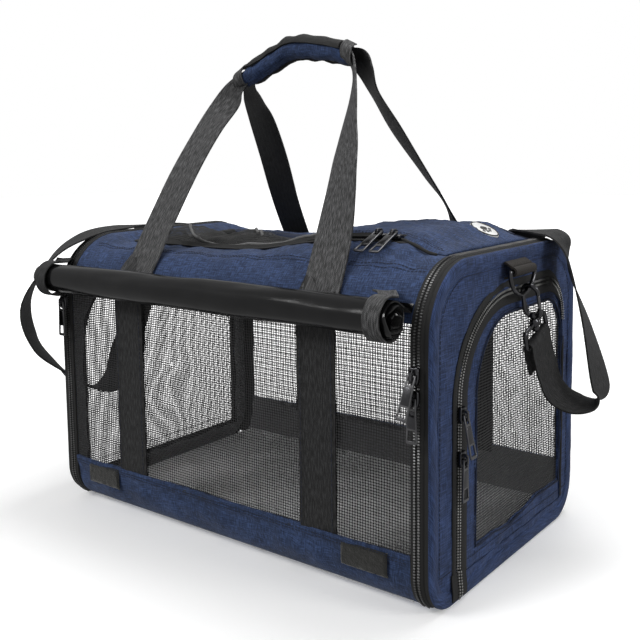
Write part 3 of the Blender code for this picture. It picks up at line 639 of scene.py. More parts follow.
def seam(path, normal, pitch):
    """Points pitch apart on a line over a surface, and its direction, side and normal there."""
    both = resample(np.concatenate([path, np.broadcast_to(normal, path.shape)], 1), pitch)
    ahead = unit(np.gradient(both[:, :3], axis=0))
    up = unit(both[:, 3:] - ahead * (both[:, 3:] * ahead).sum(1)[:, None])
    return both[:, :3], ahead, np.cross(up, ahead), up


def stitches(name, lines, mat, pitch=0.0036, thread=0.0006):
    """Rows of stitches. Each line is points and the surface's normal there."""
    at, ahead, side, up = map(np.concatenate, zip(*(seam(*line, pitch) for line in lines)))
    size = (pitch * 0.72, thread, thread * 0.8)
    return bars(name, at - up * thread * 0.25, ahead, side, up, size, [mat])


def zip_teeth(name, path, normal, mat=TEETH):
    """Two rows of teeth along a path, either side of the dark line where they mesh."""
    pitch, reach, tall, apart = 0.0024, 0.0019, 0.0011, 0.0019
    at, ahead, side, up = seam(path, normal, pitch / 2)
    hand = np.where(np.arange(len(at)) % 2, 1.0, -1.0)[:, None]
    return bars(name, at + side * hand * apart, ahead, side, up, (pitch * 0.58, reach, tall),
                [mat], taper=0.75)


# ---- the bag's outline and roof ----
def trace_outline():
    legs = [("line", HALF_W - R_BOTTOM), ("arc", R_BOTTOM), ("line", HEIGHT - R_BOTTOM - R_TOP),
            ("arc", R_TOP), ("line", 2 * (HALF_W - R_TOP)), ("arc", R_TOP),
            ("line", HEIGHT - R_BOTTOM - R_TOP), ("arc", R_BOTTOM), ("line", HALF_W - R_BOTTOM)]
    rows = [(0.0, 0.0, 0.0, math.pi)]
    for kind, size in legs:
        long = size if kind == "line" else size * math.pi / 2
        count = round(long / 0.0005)
        for _ in range(count):
            s, y, z, heading = rows[-1]
            turn = long / count / size if kind == "arc" else 0.0
            way = heading - turn / 2
            rows.append((s + long / count, y + long / count * math.cos(way),
                         z + long / count * math.sin(way), heading - turn))
    return np.array(rows)


OUTLINE = trace_outline()
AROUND = OUTLINE[-1, 0]


def around(s, offset=0.0):
    """(y, z) at distance s along the outline from the middle of the bottom, front first."""
    s = np.mod(s, AROUND)
    y, z, heading = (np.interp(s, OUTLINE[:, 0], OUTLINE[:, k]) for k in (1, 2, 3))
    return y - offset * np.sin(heading), z + offset * np.cos(heading)


def at_height(z):
    rising = OUTLINE[(OUTLINE[:, 0] > HALF_W - R_BOTTOM) & (OUTLINE[:, 0] < AROUND / 2)]
    return float(np.interp(z, rising[:, 2], rising[:, 0]))


S_BAND, S_MESH, S_WEB = at_height(BAND_TOP), at_height(MESH_TOP), at_height(WEB_TOP)


def crown(x, y):
    """The slack roof above or below a flat top, as in the frame."""
    x, y = np.asarray(x, float), np.asarray(y, float)
    across = np.maximum(0.0, 1 - (np.abs(y) / 0.118) ** 4)
    ends = ease(SIDE_X - np.abs(x), 0, 0.03)
    sag = -0.01 * (1 - ease(x, -0.03, 0.09))
    hollow = -0.013 * np.exp(-(((x + 0.075) / 0.05) ** 2) - ((y - 0.015) / 0.06) ** 2)
    rise = 0.01 * ease(x, -0.01, 0.13) * (1 - ease(x, 0.165, 0.204))
    return across * ends * (sag + hollow + rise)


# ---- bottom, long sides and roof ----
def spread(*stops):
    """Numbers from one stop to the next in even steps of about the size given between them."""
    out = [stops[0]]
    for step, end in zip(stops[1::2], stops[2::2]):
        count = max(1, round(abs(end - out[-1]) / step))
        out += list(np.linspace(out[-1], end, count + 1)[1:])
    return np.array(out)


def build_bottom():
    y, z = around(spread(-S_BAND, 0.003, S_BAND))
    half = SIDE_X + (UNDER_X - SIDE_X) * (1 - ease(z, 0.0028, 0.005))
    x = np.linspace(-1, 1, 111)[None] * half[:, None]
    spots = xyz(x, y[:, None], z[:, None])
    free = ease(z, 0.008, 0.025)[:, None]
    slack = 0.0012 * waves(spots, 0.055, 3) - 0.0012
    slack += 0.002 * bell(z, 0.028, 0.014)[:, None] * (0.4 + 0.6 * waves(spots[..., :1], 0.09, 5))
    hem = 0.0022 * ease(z, BAND_TOP - 0.013, BAND_TOP - 0.004)[:, None]
    y, z = around(spread(-S_BAND, 0.003, S_BAND)[:, None], free * slack + hem)
    fabric = grid("base_cloth", xyz(x, y, np.maximum(z, 0.0)), [NAVY, LINING], 0.0022)
    put(fabric, "shell", "navy_fabric", "bottom_panel")
    lines = []
    for sign in (-1, 1):
        for depth in (0.0035, 0.006):
            y, z = around(sign * (S_BAND - depth), 0.0024)
            path = xyz(spread(-SIDE_X + 0.004, 0.004, SIDE_X - 0.004), y, z)
            lines.append((path, (0.0, np.sign(y), 0.0)))
    put(stitches("base_hem_stitches", lines, THREAD_DARK), "shell", "navy_fabric")


def build_side_nets():
    for sign, word in SIDES:
        s = spread(S_BAND - 0.006, 0.004, S_MESH + 0.004)
        x = spread(-SIDE_X - 0.002, 0.006, SIDE_X + 0.002)
        _, z = around(s)
        spots = np.stack(np.broadcast_arrays(x, z[:, None]), -1)
        middle = np.clip(np.sin(np.pi * (z - BAND_TOP) / 0.185), 0, 1)[:, None]
        middle = middle * (1 - (x / SIDE_X) ** 4)
        dip = (-0.0028 * (0.6 + 0.5 * waves(spots, 0.1, 11 + sign)) - 0.0012) * middle - 0.0004
        y, z = around(s[:, None], dip)
        net = grid(f"{word}_net", xyz(x, sign * y, z), [NET])
        put(net, "shell", "black_mesh", f"{word}_mesh")


def roof_slack(x, y):
    """Creases of the roof cloth, on top of its crown."""
    spots = np.stack([x, y], -1)
    soft = ease(0.135 - np.abs(y), 0, 0.03) * ease(SIDE_X - np.abs(x), 0, 0.02)
    return soft * (0.0011 * waves(spots, 0.055, 21) + 0.0005 * waves(spots, 0.018, 22, 2))


def build_roof():
    hole = HATCH_Y + HATCH_EDGE
    mid = AROUND / 2
    s = spread(S_MESH - 0.0005, 0.003, mid - hole, 0.005, mid + hole, 0.003, AROUND - S_MESH + 0.0005)
    x = spread(-SIDE_X, 0.004, HATCH_X0 - HATCH_EDGE, 0.005, HATCH_X1 + HATCH_EDGE, 0.003, SIDE_X)
    y, z = around(s)
    xx, yy = np.meshgrid(x, y)
    pucker = bell(yy, -0.094, 0.012) * bell(xx, 0.13, 0.09)
    zz = z[:, None] + crown(xx, yy) + roof_slack(xx, yy)
    zz += pucker * 0.0022 * np.sin(xx * 2 * np.pi / 0.019 + 2.0 * np.sin(xx * 50))
    my, mx = (y[1:] + y[:-1]) / 2, (x[1:] + x[:-1]) / 2
    skip = (np.abs(my)[:, None] < hole) & (mx > HATCH_X0 - HATCH_EDGE) & (mx < HATCH_X1 + HATCH_EDGE)
    fabric = grid("roof_cloth", xyz(xx, yy, zz), [NAVY, LINING], 0.0022, skip=skip, away=(0, 0, 0.1))
    put(fabric, "shell", "navy_fabric", "top_panel")
    lines = []
    x = spread(-SIDE_X + 0.01, 0.004, SIDE_X - 0.004)
    for y in (-0.1095, -0.1125, 0.1135, 0.1165):
        height = roof_height(y) + crown(x, y) + roof_slack(x, np.full_like(x, y)) + 0.0002
        lines.append((xyz(x, y, height), unit(np.array([0, y * 0.7, 0.1]))))
    put(stitches("roof_stitches", lines, THREAD_DARK), "shell", "navy_fabric")


def roof_height(y):
    """Height of the outline's top at y."""
    beyond = np.clip(np.abs(np.asarray(y, float)) - (HALF_W - R_TOP), 0, R_TOP - 1e-6)
    return HEIGHT - R_TOP + np.sqrt(R_TOP**2 - beyond**2)


# ---- hatch: crumpled net on the left, a padded pocket on the right ----
NET_RIDGES = [
    ([(-0.162, -0.038), (-0.11, -0.02), (-0.05, -0.034)], 0.0175, 0.027),
    ([(-0.1, 0.018), (-0.06, -0.02), (-0.015, -0.052)], 0.006, 0.012),
    ([(0.047, -0.03), (0.017, -0.038), (-0.027, -0.06)], 0.006, 0.009),
    ([(-0.04, 0.045), (0.03, 0.02)], 0.007, 0.014),
    ([(-0.15, -0.052), (-0.05, -0.06), (0.045, -0.054)], 0.0075, 0.011),
]
# Lines along the crests of the net's folds, drawn as grey tubes: painted highlights.
NET_FOLD_HIGHLIGHTS = [
    [(-0.164, 0.03), (-0.148, -0.02), (-0.11, -0.052), (-0.06, -0.062), (0.02, -0.058),
     (0.05, -0.05)],
    [(-0.112, 0.022), (-0.084, 0.004), (-0.05, -0.026), (-0.015, -0.056)],
]
POCKET_X0, POCKET_X1, POCKET_Y1 = 0.048, 0.203, 0.071


def away_from(x, y, line):
    """Distance to a line of points in plan, and how far along it."""
    spots = np.stack([x, y], -1)
    best = np.full(x.shape, 9.0)
    for a, b in zip(np.array(line[:-1]), np.array(line[1:])):
        share = np.clip(((spots - a) @ (b - a)) / (b - a).dot(b - a), 0, 1)
        best = np.minimum(best, np.linalg.norm(spots - (a + share[..., None] * (b - a)), axis=-1))
    return best


def hatch_net_height(x, y):
    x, y = np.asarray(x, float), np.asarray(y, float)
    edge = np.minimum.reduce([x - HATCH_X0, y + HATCH_Y, HATCH_Y - y])
    soft = ease(edge, 0.001, 0.022)
    height = np.zeros(x.shape)
    for line, tall, wide in NET_RIDGES:
        height += tall * np.exp(-(away_from(x, y, line) / wide) ** 1.4)
    spots = np.stack([x, y], -1)
    height += 0.0016 * waves(spots, 0.05, 31) + 0.0004 * waves(spots, 0.015, 32, 2)
    return HEIGHT + crown(x, y) + height * soft


def pocket_front(x):
    """The pocket's front edge. Past the end of the zip it hangs over the roof."""
    return -0.07 - 0.0135 * ease(x, 0.148, 0.172)


def pocket_height(x, y):
    """Top of the puffed pocket."""
    x, y = np.asarray(x, float), np.asarray(y, float)
    front = pocket_front(x)
    u = np.clip((x - (POCKET_X0 + POCKET_X1) / 2) / ((POCKET_X1 - POCKET_X0) / 2), -1, 1)
    v = np.clip((y - (front + POCKET_Y1) / 2) / ((POCKET_Y1 - front) / 2), -1, 1)
    puff = (1 - np.abs(u) ** 5.0) ** 0.62 * (1 - np.abs(v) ** 5.0) ** 0.62
    spots = np.stack([x, y], -1)
    soft = (1 - np.abs(u) ** 6) * (1 - np.abs(v) ** 6)
    fold = 0.001 * waves(spots, 0.05, 41) + 0.0005 * waves(spots, 0.018, 42, 2)
    drag = 0.0012 * np.sin((x * 0.8 - y) * 2 * np.pi / 0.024)
    drag = drag * bell(u, -0.92, 0.35) * bell(v, -0.8, 0.7)
    return HEIGHT + 0.0008 + crown(x, y) * 0.85 + 0.0088 * puff + (fold + drag) * soft


def hatch_loop(out):
    """The hatch's left, front and right edges in plan, grown outwards."""
    r = 0.004 + out
    left, right, front = HATCH_X0 + 0.004, HATCH_X1 - 0.004, -HATCH_Y + 0.004
    points = [(left - r, y) for y in np.linspace(0.062, front, 30)[:-1]]
    points += list(arc((left, front), (r, r), 180, 270, 8))[:-1]
    points += [(x, front - r) for x in np.linspace(left, right, 90)[:-1]]
    points += list(arc((right, front), (r, r), -90, 0, 8))[:-1]
    points += [(right + r, y) for y in np.linspace(front, 0.062, 30)]
    return np.array(points)


def on_roof(plan, lift):
    height = HEIGHT + crown(plan[..., 0], plan[..., 1]) + lift
    return xyz(plan[..., 0], plan[..., 1], height)


def build_hatch():
    x, y = np.meshgrid(spread(HATCH_X0 - 0.001, 0.0035, HATCH_SPLIT + 0.002),
                       spread(-HATCH_Y - 0.001, 0.0035, HATCH_Y))
    net = grid("hatch_net", xyz(x, y, hatch_net_height(x, y)), [NET_TOP], away=(0, 0, 0))
    put(net, "hatch", "black_mesh", "top_hatch")
    # Painted highlights along the crests of the net's folds, as thin grey tubes.
    fold_highlights = []
    for line in NET_FOLD_HIGHLIGHTS:
        x, y = through(line, 10).T
        fold_highlights.append(tube("fold_highlight", xyz(x, y, hatch_net_height(x, y) + 0.0008), 0.0015, [NET_FOLD_PAINTED_HIGHLIGHT], 8))
    put(join("hatch_net_fold_highlights", fold_highlights), "hatch", "webbing")
    # A binding round the hatch, over the inner tape of its zip, then the outer tape and its core.
    for name, body, thick, rings in (
            ("hatch_binding", "hatch", 0.001, ((-0.0095, 0.0012), (-0.0075, 0.0042), (-0.0035, 0.005),
                                                (0.0, 0.0024), (0.0032, 0.0004))),
            ("hatch_zip_tape", "shell", 0.0009, ((0.0056, 0.0002), (0.0075, 0.001), (0.011, 0.0018),
                                                 (0.0128, 0.001))),
            ("hatch_zip_core", "shell", 0.0008, ((0.003, -0.0006), (0.0052, -0.0006),
                                                 (0.0074, -0.0006)))):
        rows = np.stack([on_roof(hatch_loop(out), lift) for out, lift in rings])
        put(grid(name, rows, [TAPE], thick, away=(0, 0, 0)), body, "zip_tape")
    chain = on_roof(hatch_loop(HATCH_ZIP), 0.0)
    put(zip_teeth("hatch_zip_teeth", chain, UP), "shell", "zip_teeth", "hatch_zip")
    hinge_y = np.array([0.085, 0.08, 0.076, 0.072, 0.069, 0.0655])
    x, y = np.meshgrid(spread(HATCH_X0, 0.006, HATCH_X1), hinge_y)
    z = HEIGHT + crown(x, y) + 0.0006 + 0.0022 * bell(y, 0.074, 0.006)
    hinge = grid("hatch_hinge", xyz(x, y, z), [NAVY_DEEP, LINING], 0.0016, away=(0, 0, 0))
    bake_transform(hinge)


def build_pocket():
    u = np.linspace(-1, 1, 61)
    u = np.sign(u) * (1 - (1 - np.abs(u)) ** 1.25)
    x, v = np.meshgrid((POCKET_X0 + POCKET_X1) / 2 + (POCKET_X1 - POCKET_X0) / 2 * u, u)
    front = pocket_front(x)
    y = (front + POCKET_Y1) / 2 + (POCKET_Y1 - front) / 2 * v
    top = pocket_height(x, y)
    low = HEIGHT + crown(x, y) - 0.003 + 0.0042 * ease(x, 0.178, 0.186)
    low += 0.0042 * ease(-y, 0.066, 0.071) * (1 - ease(x, 0.178, 0.186))
    under = xyz(x, y, np.minimum(low, top - 0.001))
    # The top, then the sheet folded under it.
    body = grid("pocket", np.concatenate([xyz(x, y, top), under[::-1]]), [NAVY], away=None)
    close_sides(body)
    put(body, "hatch", "navy_fabric", "hatch_pocket")
    seam_x = POCKET_X0 + 0.003
    edge = [(seam_x, 0.068), (seam_x, 0.0), (seam_x, -0.06), (0.06, -0.0712), (0.1, -0.0715),
            (0.14, -0.0715), (0.158, -0.076), (0.17, -0.084), (0.185, -0.0868),
            (0.197, -0.0885)]
    x, y = resample(through(edge, 8), 0.003).T
    pipe = tube("pocket_piping", xyz(x, y, roof_height(y) + crown(x, y) + 0.002), 0.0015, [TAPE], 8)
    put(pipe, "hatch", "webbing")
    lines = []
    for inset in (0.007, 0.0095):
        x = spread(POCKET_X0 + inset, 0.003, POCKET_X1 - inset)
        for y, sign in ((pocket_front(x) + inset, -1), (np.full_like(x, POCKET_Y1 - inset), 1)):
            lines.append((xyz(x, y, pocket_height(x, y)), unit(np.array([0, 0.6 * sign, 1.0]))))
    put(stitches("pocket_stitches", lines, THREAD_DARK), "hatch", "navy_fabric")


def close_sides(body):
    """Fills the pocket's open sides and turns its faces outwards."""
    import bmesh
    mesh = bmesh.new()
    mesh.from_mesh(body.data)
    bmesh.ops.holes_fill(mesh, edges=[e for e in mesh.edges if e.is_boundary], sides=0)
    bmesh.ops.triangulate(mesh, faces=[f for f in mesh.faces if len(f.verts) > 4])
    bmesh.ops.recalc_face_normals(mesh, faces=mesh.faces)
    mesh.to_mesh(body.data)
    mesh.free()


def build_badge():
    cx, cy = 0.183, 0.022
    step = 0.004
    z = pocket_height(np.array([cx, cx + step, cx]), np.array([cy, cy, cy + step]))
    right = unit(np.array([step, 0, z[1] - z[0]]))
    back = unit(np.array([0, step, z[2] - z[0]]))
    up = unit(np.cross(right, back))
    back = np.cross(up, right)
    turn = Matrix(np.stack([right, back, up], 1).tolist()).to_4x4()
    # Wide along the bag, so that it faces the end.
    home = Matrix.Translation((cx, cy, float(z[0]) + 0.0004)) @ turn
    disc = plate("badge_disc", arc((0, 0), (0.0145, 0.0105), 0, 350, 35), [], 0.0024, 0.0008, [BADGE])
    rim = tube("badge_rim", np.concatenate([arc((0, 0), (0.0136, 0.0097), 0, 354, 59),
                                            np.full((60, 1), 0.0011)], 1), 0.0007, [BADGE_INK], 8,
               closed=True)
    prints = [plate("pad", [(0.003 * math.cos(t) * (1 + 0.18 * math.cos(2 * t)) - 0.0012,
                             0.0036 * math.sin(t)) for t in np.linspace(0, 6.1, 24)],
                    [], 0.0006, 0.0002, [BADGE_INK])]
    for k, (u, v) in enumerate(((0.0022, -0.0048), (0.0046, -0.0018), (0.0046, 0.0018),
                                (0.0022, 0.0048))):
        toe = arc((u, v), (0.0017, 0.0012), 0, 340, 17)
        prints.append(plate(f"toe{k}", toe, [], 0.0006, 0.0002, [BADGE_INK]))
    for piece in prints:
        piece.location.z = 0.0013
    bpy.context.view_layer.update()
    whole = join("badge_plate", [disc, rim, *prints])
    whole.matrix_world = home
    put(whole, "hatch", "badge", "badge")


# ---- ends ----
def door_loop(front, top, rear, foot):
    """The door's arch, grown outwards by these amounts, in Y and Z."""
    points = [(DOOR_FRONT - front, DOOR_FOOT - foot)]
    points += list(arc((DOOR_FRONT + 0.085, 0.165), (0.085 + front, 0.0755 + top), 180, 90, 24))
    points += list(arc((DOOR_REAR - 0.04, 0.2005), (0.04 + rear, 0.04 + top), 90, 0, 16))
    return np.array(points + [(DOOR_REAR + rear, DOOR_FOOT - foot)])


def window_loop(grow=0.0):
    g = grow
    points = [(-0.063 - g, 0.036 - g)]
    points += list(arc((-0.003, 0.16), (0.06 + g, 0.064 + g), 180, 90, 20))
    points += list(arc((0.0735, 0.189), (0.035 + g, 0.035 + g), 90, 0, 12))
    foot = [(0.105, 0.043), (0.058, 0.042), (-0.001, 0.034), (-0.03, 0.038), (-0.058, 0.037)]
    return np.array(points + [(0.1085 + g, 0.04 - g)] + [(y, z - g - 0.0015) for y, z in foot[1:]])


def at_x(x, loop):
    """Points in Y and Z, placed at x."""
    return xyz(x, loop[..., 0], loop[..., 1])


def end_cloth(name, rows, mats, thick, uv=None):
    """Cloth or tape on an end, or round it."""
    return grid(name, rows, mats, thick, uv, away=INSIDE, sharp=60)


def inset_loop(inset):
    y, z = around(np.arange(0, AROUND, 0.001), -inset)
    return np.stack([y, z], 1)


RAY_CENTRE = np.array([0.01, 0.115])


def rays(loop, turns):
    """Where rays from the middle of the end meet a closed loop."""
    rel = resample(loop, 0.0005, closed=True) - RAY_CENTRE
    angle = np.arctan2(rel[:, 1], rel[:, 0])
    order = np.argsort(angle)
    far = np.interp(turns, angle[order], np.linalg.norm(rel, axis=1)[order], period=2 * np.pi)
    return RAY_CENTRE + far[:, None] * np.stack([np.cos(turns), np.sin(turns)], 1)


def ring_turns():
    """Directions from the middle of the end, closer together at the outline's corners."""
    rel = resample(inset_loop(0.0134), 0.003, closed=True) - RAY_CENTRE
    turns = np.sort(np.arctan2(rel[:, 1], rel[:, 0]))
    return np.append(turns, turns[0] + 2 * np.pi)


def between_loops(inner, outer, rows):
    turns = ring_turns()
    a, b = rays(inner, turns), rays(outer, turns)
    share = np.linspace(0, 1, rows)[:, None, None]
    return a[None] * (1 - share) + b[None] * share


def flat_fill(name, loop, mats, depth, hand):
    """Net filling a loop on an end. depth gives its X at each point."""
    edge = rays(loop, ring_turns())
    plan = RAY_CENTRE + (edge - RAY_CENTRE)[None] * np.linspace(0.02, 1, 26)[:, None, None]
    return grid(name, at_x(hand * depth(plan), plan), mats, uv=plan, away=INSIDE)


def left_window(grow):
    """The sewn window of the other end, which is a little larger than the door."""
    return door_loop(0.022 + grow, 0.01 + grow, 0.006 + grow, grow)


def door_row(x, front, top):
    """The door's edge at x from the zip's foot to the rear corner, grown outwards."""
    loop = door_loop(front, top, 0, 0)[:-1]
    loop[0, 1] = DOOR_ZIP_FOOT
    return at_x(x, loop)


def build_ends():
    section = [(0.2161, 0.0016), (0.2166, 0.0003), (0.218, 0.0), (0.2203, 0.0001),
               (0.2217, 0.001), (0.2225, 0.003), (0.2226, 0.006), (0.2224, 0.0095),
               (0.2217, 0.0122), (0.2207, 0.0136)]
    for hand, word in HANDS:
        s = spread(0.0, 0.003, AROUND)
        rows = []
        for x, inset in section:
            y, z = around(s, -inset)
            spots = np.stack([s, np.full_like(s, inset)], -1)
            wobble = 0.0003 * waves(spots, 0.05, 51) * (inset > 0.002)
            rows.append(xyz(hand * (x + wobble - 0.0001), y, np.maximum(z, 0.0)))
        border = grid(f"{word}_border", rows[3:], [NAVY_END, LINING], 0.0012, away=INSIDE)
        put(border, "shell", "navy_fabric", f"{word}_piping")
        binding = grid(f"{word}_border_binding", rows[:4], [TAPE], 0.0012, away=INSIDE)
        put(binding, "shell", "zip_tape")
        build_panel(hand, word)
        build_corner_zip(hand, word)
    build_door()
    window = flat_fill("left_window_net", left_window(0.002), [NET_DOOR],
                       lambda plan: 0.2192 + 0.0008 * waves(plan, 0.08, 61), -1)
    put(window, "shell", "black_mesh", "left_window_mesh")
    path = resample(at_x(-0.2212, left_window(0.001)), 0.003, closed=True)
    put(tube("left_window_binding", path, 0.0032, [TAPE], 8, closed=True, start=(1, 0, 0)), "shell",
        "webbing")


def build_panel(hand, word):
    hole = door_loop(0.0052, 0.0052, 0.0012, 0.0008) if hand > 0 else left_window(0)
    plan = between_loops(hole, inset_loop(0.0128), 12)
    depth = END_FACE - 0.0002 + 0.00056 * waves(plan, 0.045, 63)
    depth += 0.0012 * bell(plan[..., 1], 0.25, 0.012) * bell(plan[..., 0], 0.0, 0.09)
    panel = end_cloth(f"{word}_panel", at_x(hand * depth, plan), [NAVY_END, LINING], 0.0022, plan)
    put(panel, "shell", "navy_fabric", f"{word}_end_panel")
    edge = inset_loop(0.0146)
    edge = edge[edge[:, 1] > 0.03]
    edge = edge[np.argsort(np.arctan2(edge[:, 0], 0.12 - edge[:, 1]))]
    path = at_x(hand * (END_FACE + 0.0009), edge)
    put(stitches(f"{word}_panel_stitches", [(path, (hand, 0, 0))], THREAD_DARK, 0.004), "shell",
        "navy_fabric")


def build_corner_zip(hand, word):
    start = at_height(0.006)
    s = spread(start, 0.003, AROUND - start)
    profile = [(-0.0064, -0.001), (-0.006, 0.0004), (-0.003, 0.0008), (-0.0022, 0.0012),
               (-0.0018, 0.0006), (0.0, 0.0002), (0.0018, 0.0006), (0.0022, 0.0012),
               (0.003, 0.0008), (0.0056, 0.0004), (0.0062, -0.001)]
    rows = [xyz(hand * (ZIP_X + dx), *around(s, out)) for dx, out in profile]
    put(end_cloth(f"{word}_zip_tape", rows, [TAPE], 0.001), "shell", "zip_tape")
    path = xyz(hand * ZIP_X, *around(s, 0.0006))
    out = unit(xyz(hand * ZIP_X, *around(s, 0.0106)) - path)
    put(zip_teeth(f"{word}_zip_teeth", path, out), "shell", "zip_teeth", f"{word}_corner_zip")


def build_door():
    outer = door_loop(-0.0004, -0.0004, -0.0006, -0.0006)
    plan = between_loops(window_loop(-0.0005), outer, 10)
    depth = END_FACE - 0.0004 + 0.0007 * waves(plan, 0.05, 71)
    cloth = end_cloth("door_cloth", at_x(depth, plan), [NAVY_END, LINING], 0.002, plan)
    put(cloth, "door", "navy_fabric", "right_door")
    net = flat_fill("door_net", window_loop(0.002), [NET_DOOR],
                    lambda plan: 0.2196 - 0.0012 * bell(plan[..., 0], 0.02, 0.05)
                    + 0.0005 * waves(plan, 0.07, 73), 1)
    put(net, "door", "black_mesh", "right_door_mesh")
    # The door's half of its zip tape lies on its edge; the other half is on the end.
    for name, body, rings in (
            ("door_tape", "door", ((-0.0112, 0.0004), (-0.0098, 0.0012), (-0.003, 0.001),
                                   (-0.0003, 0.0002))),
            ("end_door_tape", "shell", ((0.0057, 0.0002), (0.0078, 0.001), (0.0112, 0.0012),
                                        (0.0126, 0.0004)))):
        rows = []
        for grow, up in rings:
            row = door_row(END_FACE + up + 0.0004, grow, grow * (0.75 if grow < 0 else 1.0))
            if grow < 0:
                row[25:, 2] = np.minimum(row[25:, 2], row[24, 2])
            rows.append(row)
        put(end_cloth(name, rows, [TAPE], 0.0009), body, "zip_tape")
    core = [door_row(0.2213, grow, grow) for grow in (-0.0004, 0.0027, 0.0058)]
    put(grid("door_zip_core", core, [TAPE], 0.001, away=INSIDE), "shell", "zip_tape")
    path = door_row(0.2216, 0.0027, 0.0027)
    put(zip_teeth("door_zip_teeth", path, OUT, TEETH_BRIGHT), "shell", "zip_teeth", "right_door_zip")
    # Dark binding where the net is sewn in, and trim over the hinge.
    rim = resample(at_x(0.2208, window_loop(0.0008)), 0.003, closed=True)
    put(tube("door_net_binding", rim, 0.0011, [NAVY_DEEP], 8, closed=True, start=(1, 0, 0)), "door",
        "navy_fabric")
    path = at_x(END_FACE + 0.0005, window_loop(0.004)[:35])
    put(stitches("door_stitches", [(path, OUT)], THREAD_DARK), "door", "navy_fabric")
    # Below the door the zip ends in a tail that runs down to the bottom's edge.
    tail = through([(0.222, -0.0947, 0.026), (0.2226, -0.0947, 0.018),
                    (0.2233, -0.0947, 0.011), (0.2232, -0.0947, 0.004)], 8)
    put(ribbon("door_zip_tail", tail, (0, 1, 0), 0.0235, [TAPE], 0.001, 6), "shell", "zip_tape")
    put(zip_teeth("door_tail_teeth", tail + [0.0006, 0, 0], (1.0, 0.0, -0.1), TEETH_BRIGHT), "shell",
        "zip_teeth")
    post = xyz(0.2206, DOOR_REAR + 0.003, spread(DOOR_ZIP_FOOT, 0.003, 0.183))
    put(tube("door_hinge_piping", post, 0.0016, [TAPE], 10), "shell", "webbing")


# ---- rolled-up curtains ----
ROLL_START, ROLL_TURNS = 38, 3.1          # degrees up from the bag's side, and the sheet's turns


def roll_radius(x):
    return np.interp(x, [-0.229, -0.224, -0.212, -0.195, 0.19, 0.203],
                     [0.01, 0.0136, 0.0159, 0.0161, 0.0161, 0.0155])


def build_curtains():
    for sign, word in ((-1, "front"), (1, "rear")):
        x = spread(-0.229, 0.0025, -0.21, 0.005, 0.185, 0.002, 0.2035)
        turns = spread(math.radians(ROLL_START), 0.13, math.radians(ROLL_START + 360 * ROLL_TURNS))
        share = (turns - turns[0]) / (turns[-1] - turns[0])
        xx, tt = np.meshgrid(x, turns)
        rr = roll_radius(xx) * (1 - 0.6 * share[:, None])
        spots = np.stack([xx * 0.35, 0.016 * np.cos(tt), 0.016 * np.sin(tt)], -1)
        outer = (1 - share[:, None]) ** 2
        rr = rr - 0.0006 + outer * 0.0006 * waves(spots, 0.035, 81 + sign)
        # The right end is looser: its turns part and sink.
        loose = ease(xx, 0.18, 0.2035)
        rr = rr * (1 - 0.06 * loose * np.sin(tt + 0.8)) + loose * 0.0007 * np.sin(tt * 5)
        rows = xyz(xx + loose * 0.002 * np.sin(tt * 1.7 + 1.0), sign * (ROLL_Y - rr * np.cos(tt)),
                   ROLL_Z + rr * np.sin(tt))
        # Above the roll the sheet runs up to the roof's edge.
        tail = []
        for further, out in ((0.015, 0.0008), (0.0085, 0.0012)):
            y, z = around(S_MESH + further, out)
            tail.append(xyz(x, sign * abs(y), z))
        tail.append((tail[-1] * 0.45 + rows[0] * 0.55) + [0, 0, 0.0012])
        rows = np.concatenate([np.array(tail), rows])
        sheet = grid(f"{word}_roll", rows, [COATED, BACKING], 0.0011, away=(0, sign * ROLL_Y, ROLL_Z),
                     sharp=60)
        put(sheet, "shell", "coated_fabric", f"{word}_curtain")
        y, z = around(S_MESH + 0.022, 0.0022)
        # The right-hand loops take the lighter copy of the webbing, painted light.
        for at, half, shade in ((-0.206, "left", WEBBING), (0.192, "right", WEBBING_PAINTED_LIGHT)):
            turn = np.radians(np.linspace(60, 420 - 28, 44))
            r = float(roll_radius(at)) + 0.0012
            ring = xyz(at, sign * (ROLL_Y - r * np.cos(turn)), ROLL_Z + r * np.sin(turn))
            start = [(at - 0.02, sign * abs(y), z), (at - 0.01, sign * 0.138, 0.2572)]
            strap = ribbon(f"{word}_{half}_roll_loop", [*start, *ring], (1, 0, 0), 0.015, [shade],
                           0.0012, 4)
            put(strap, "shell", "webbing", f"{word}_{half}_loop")


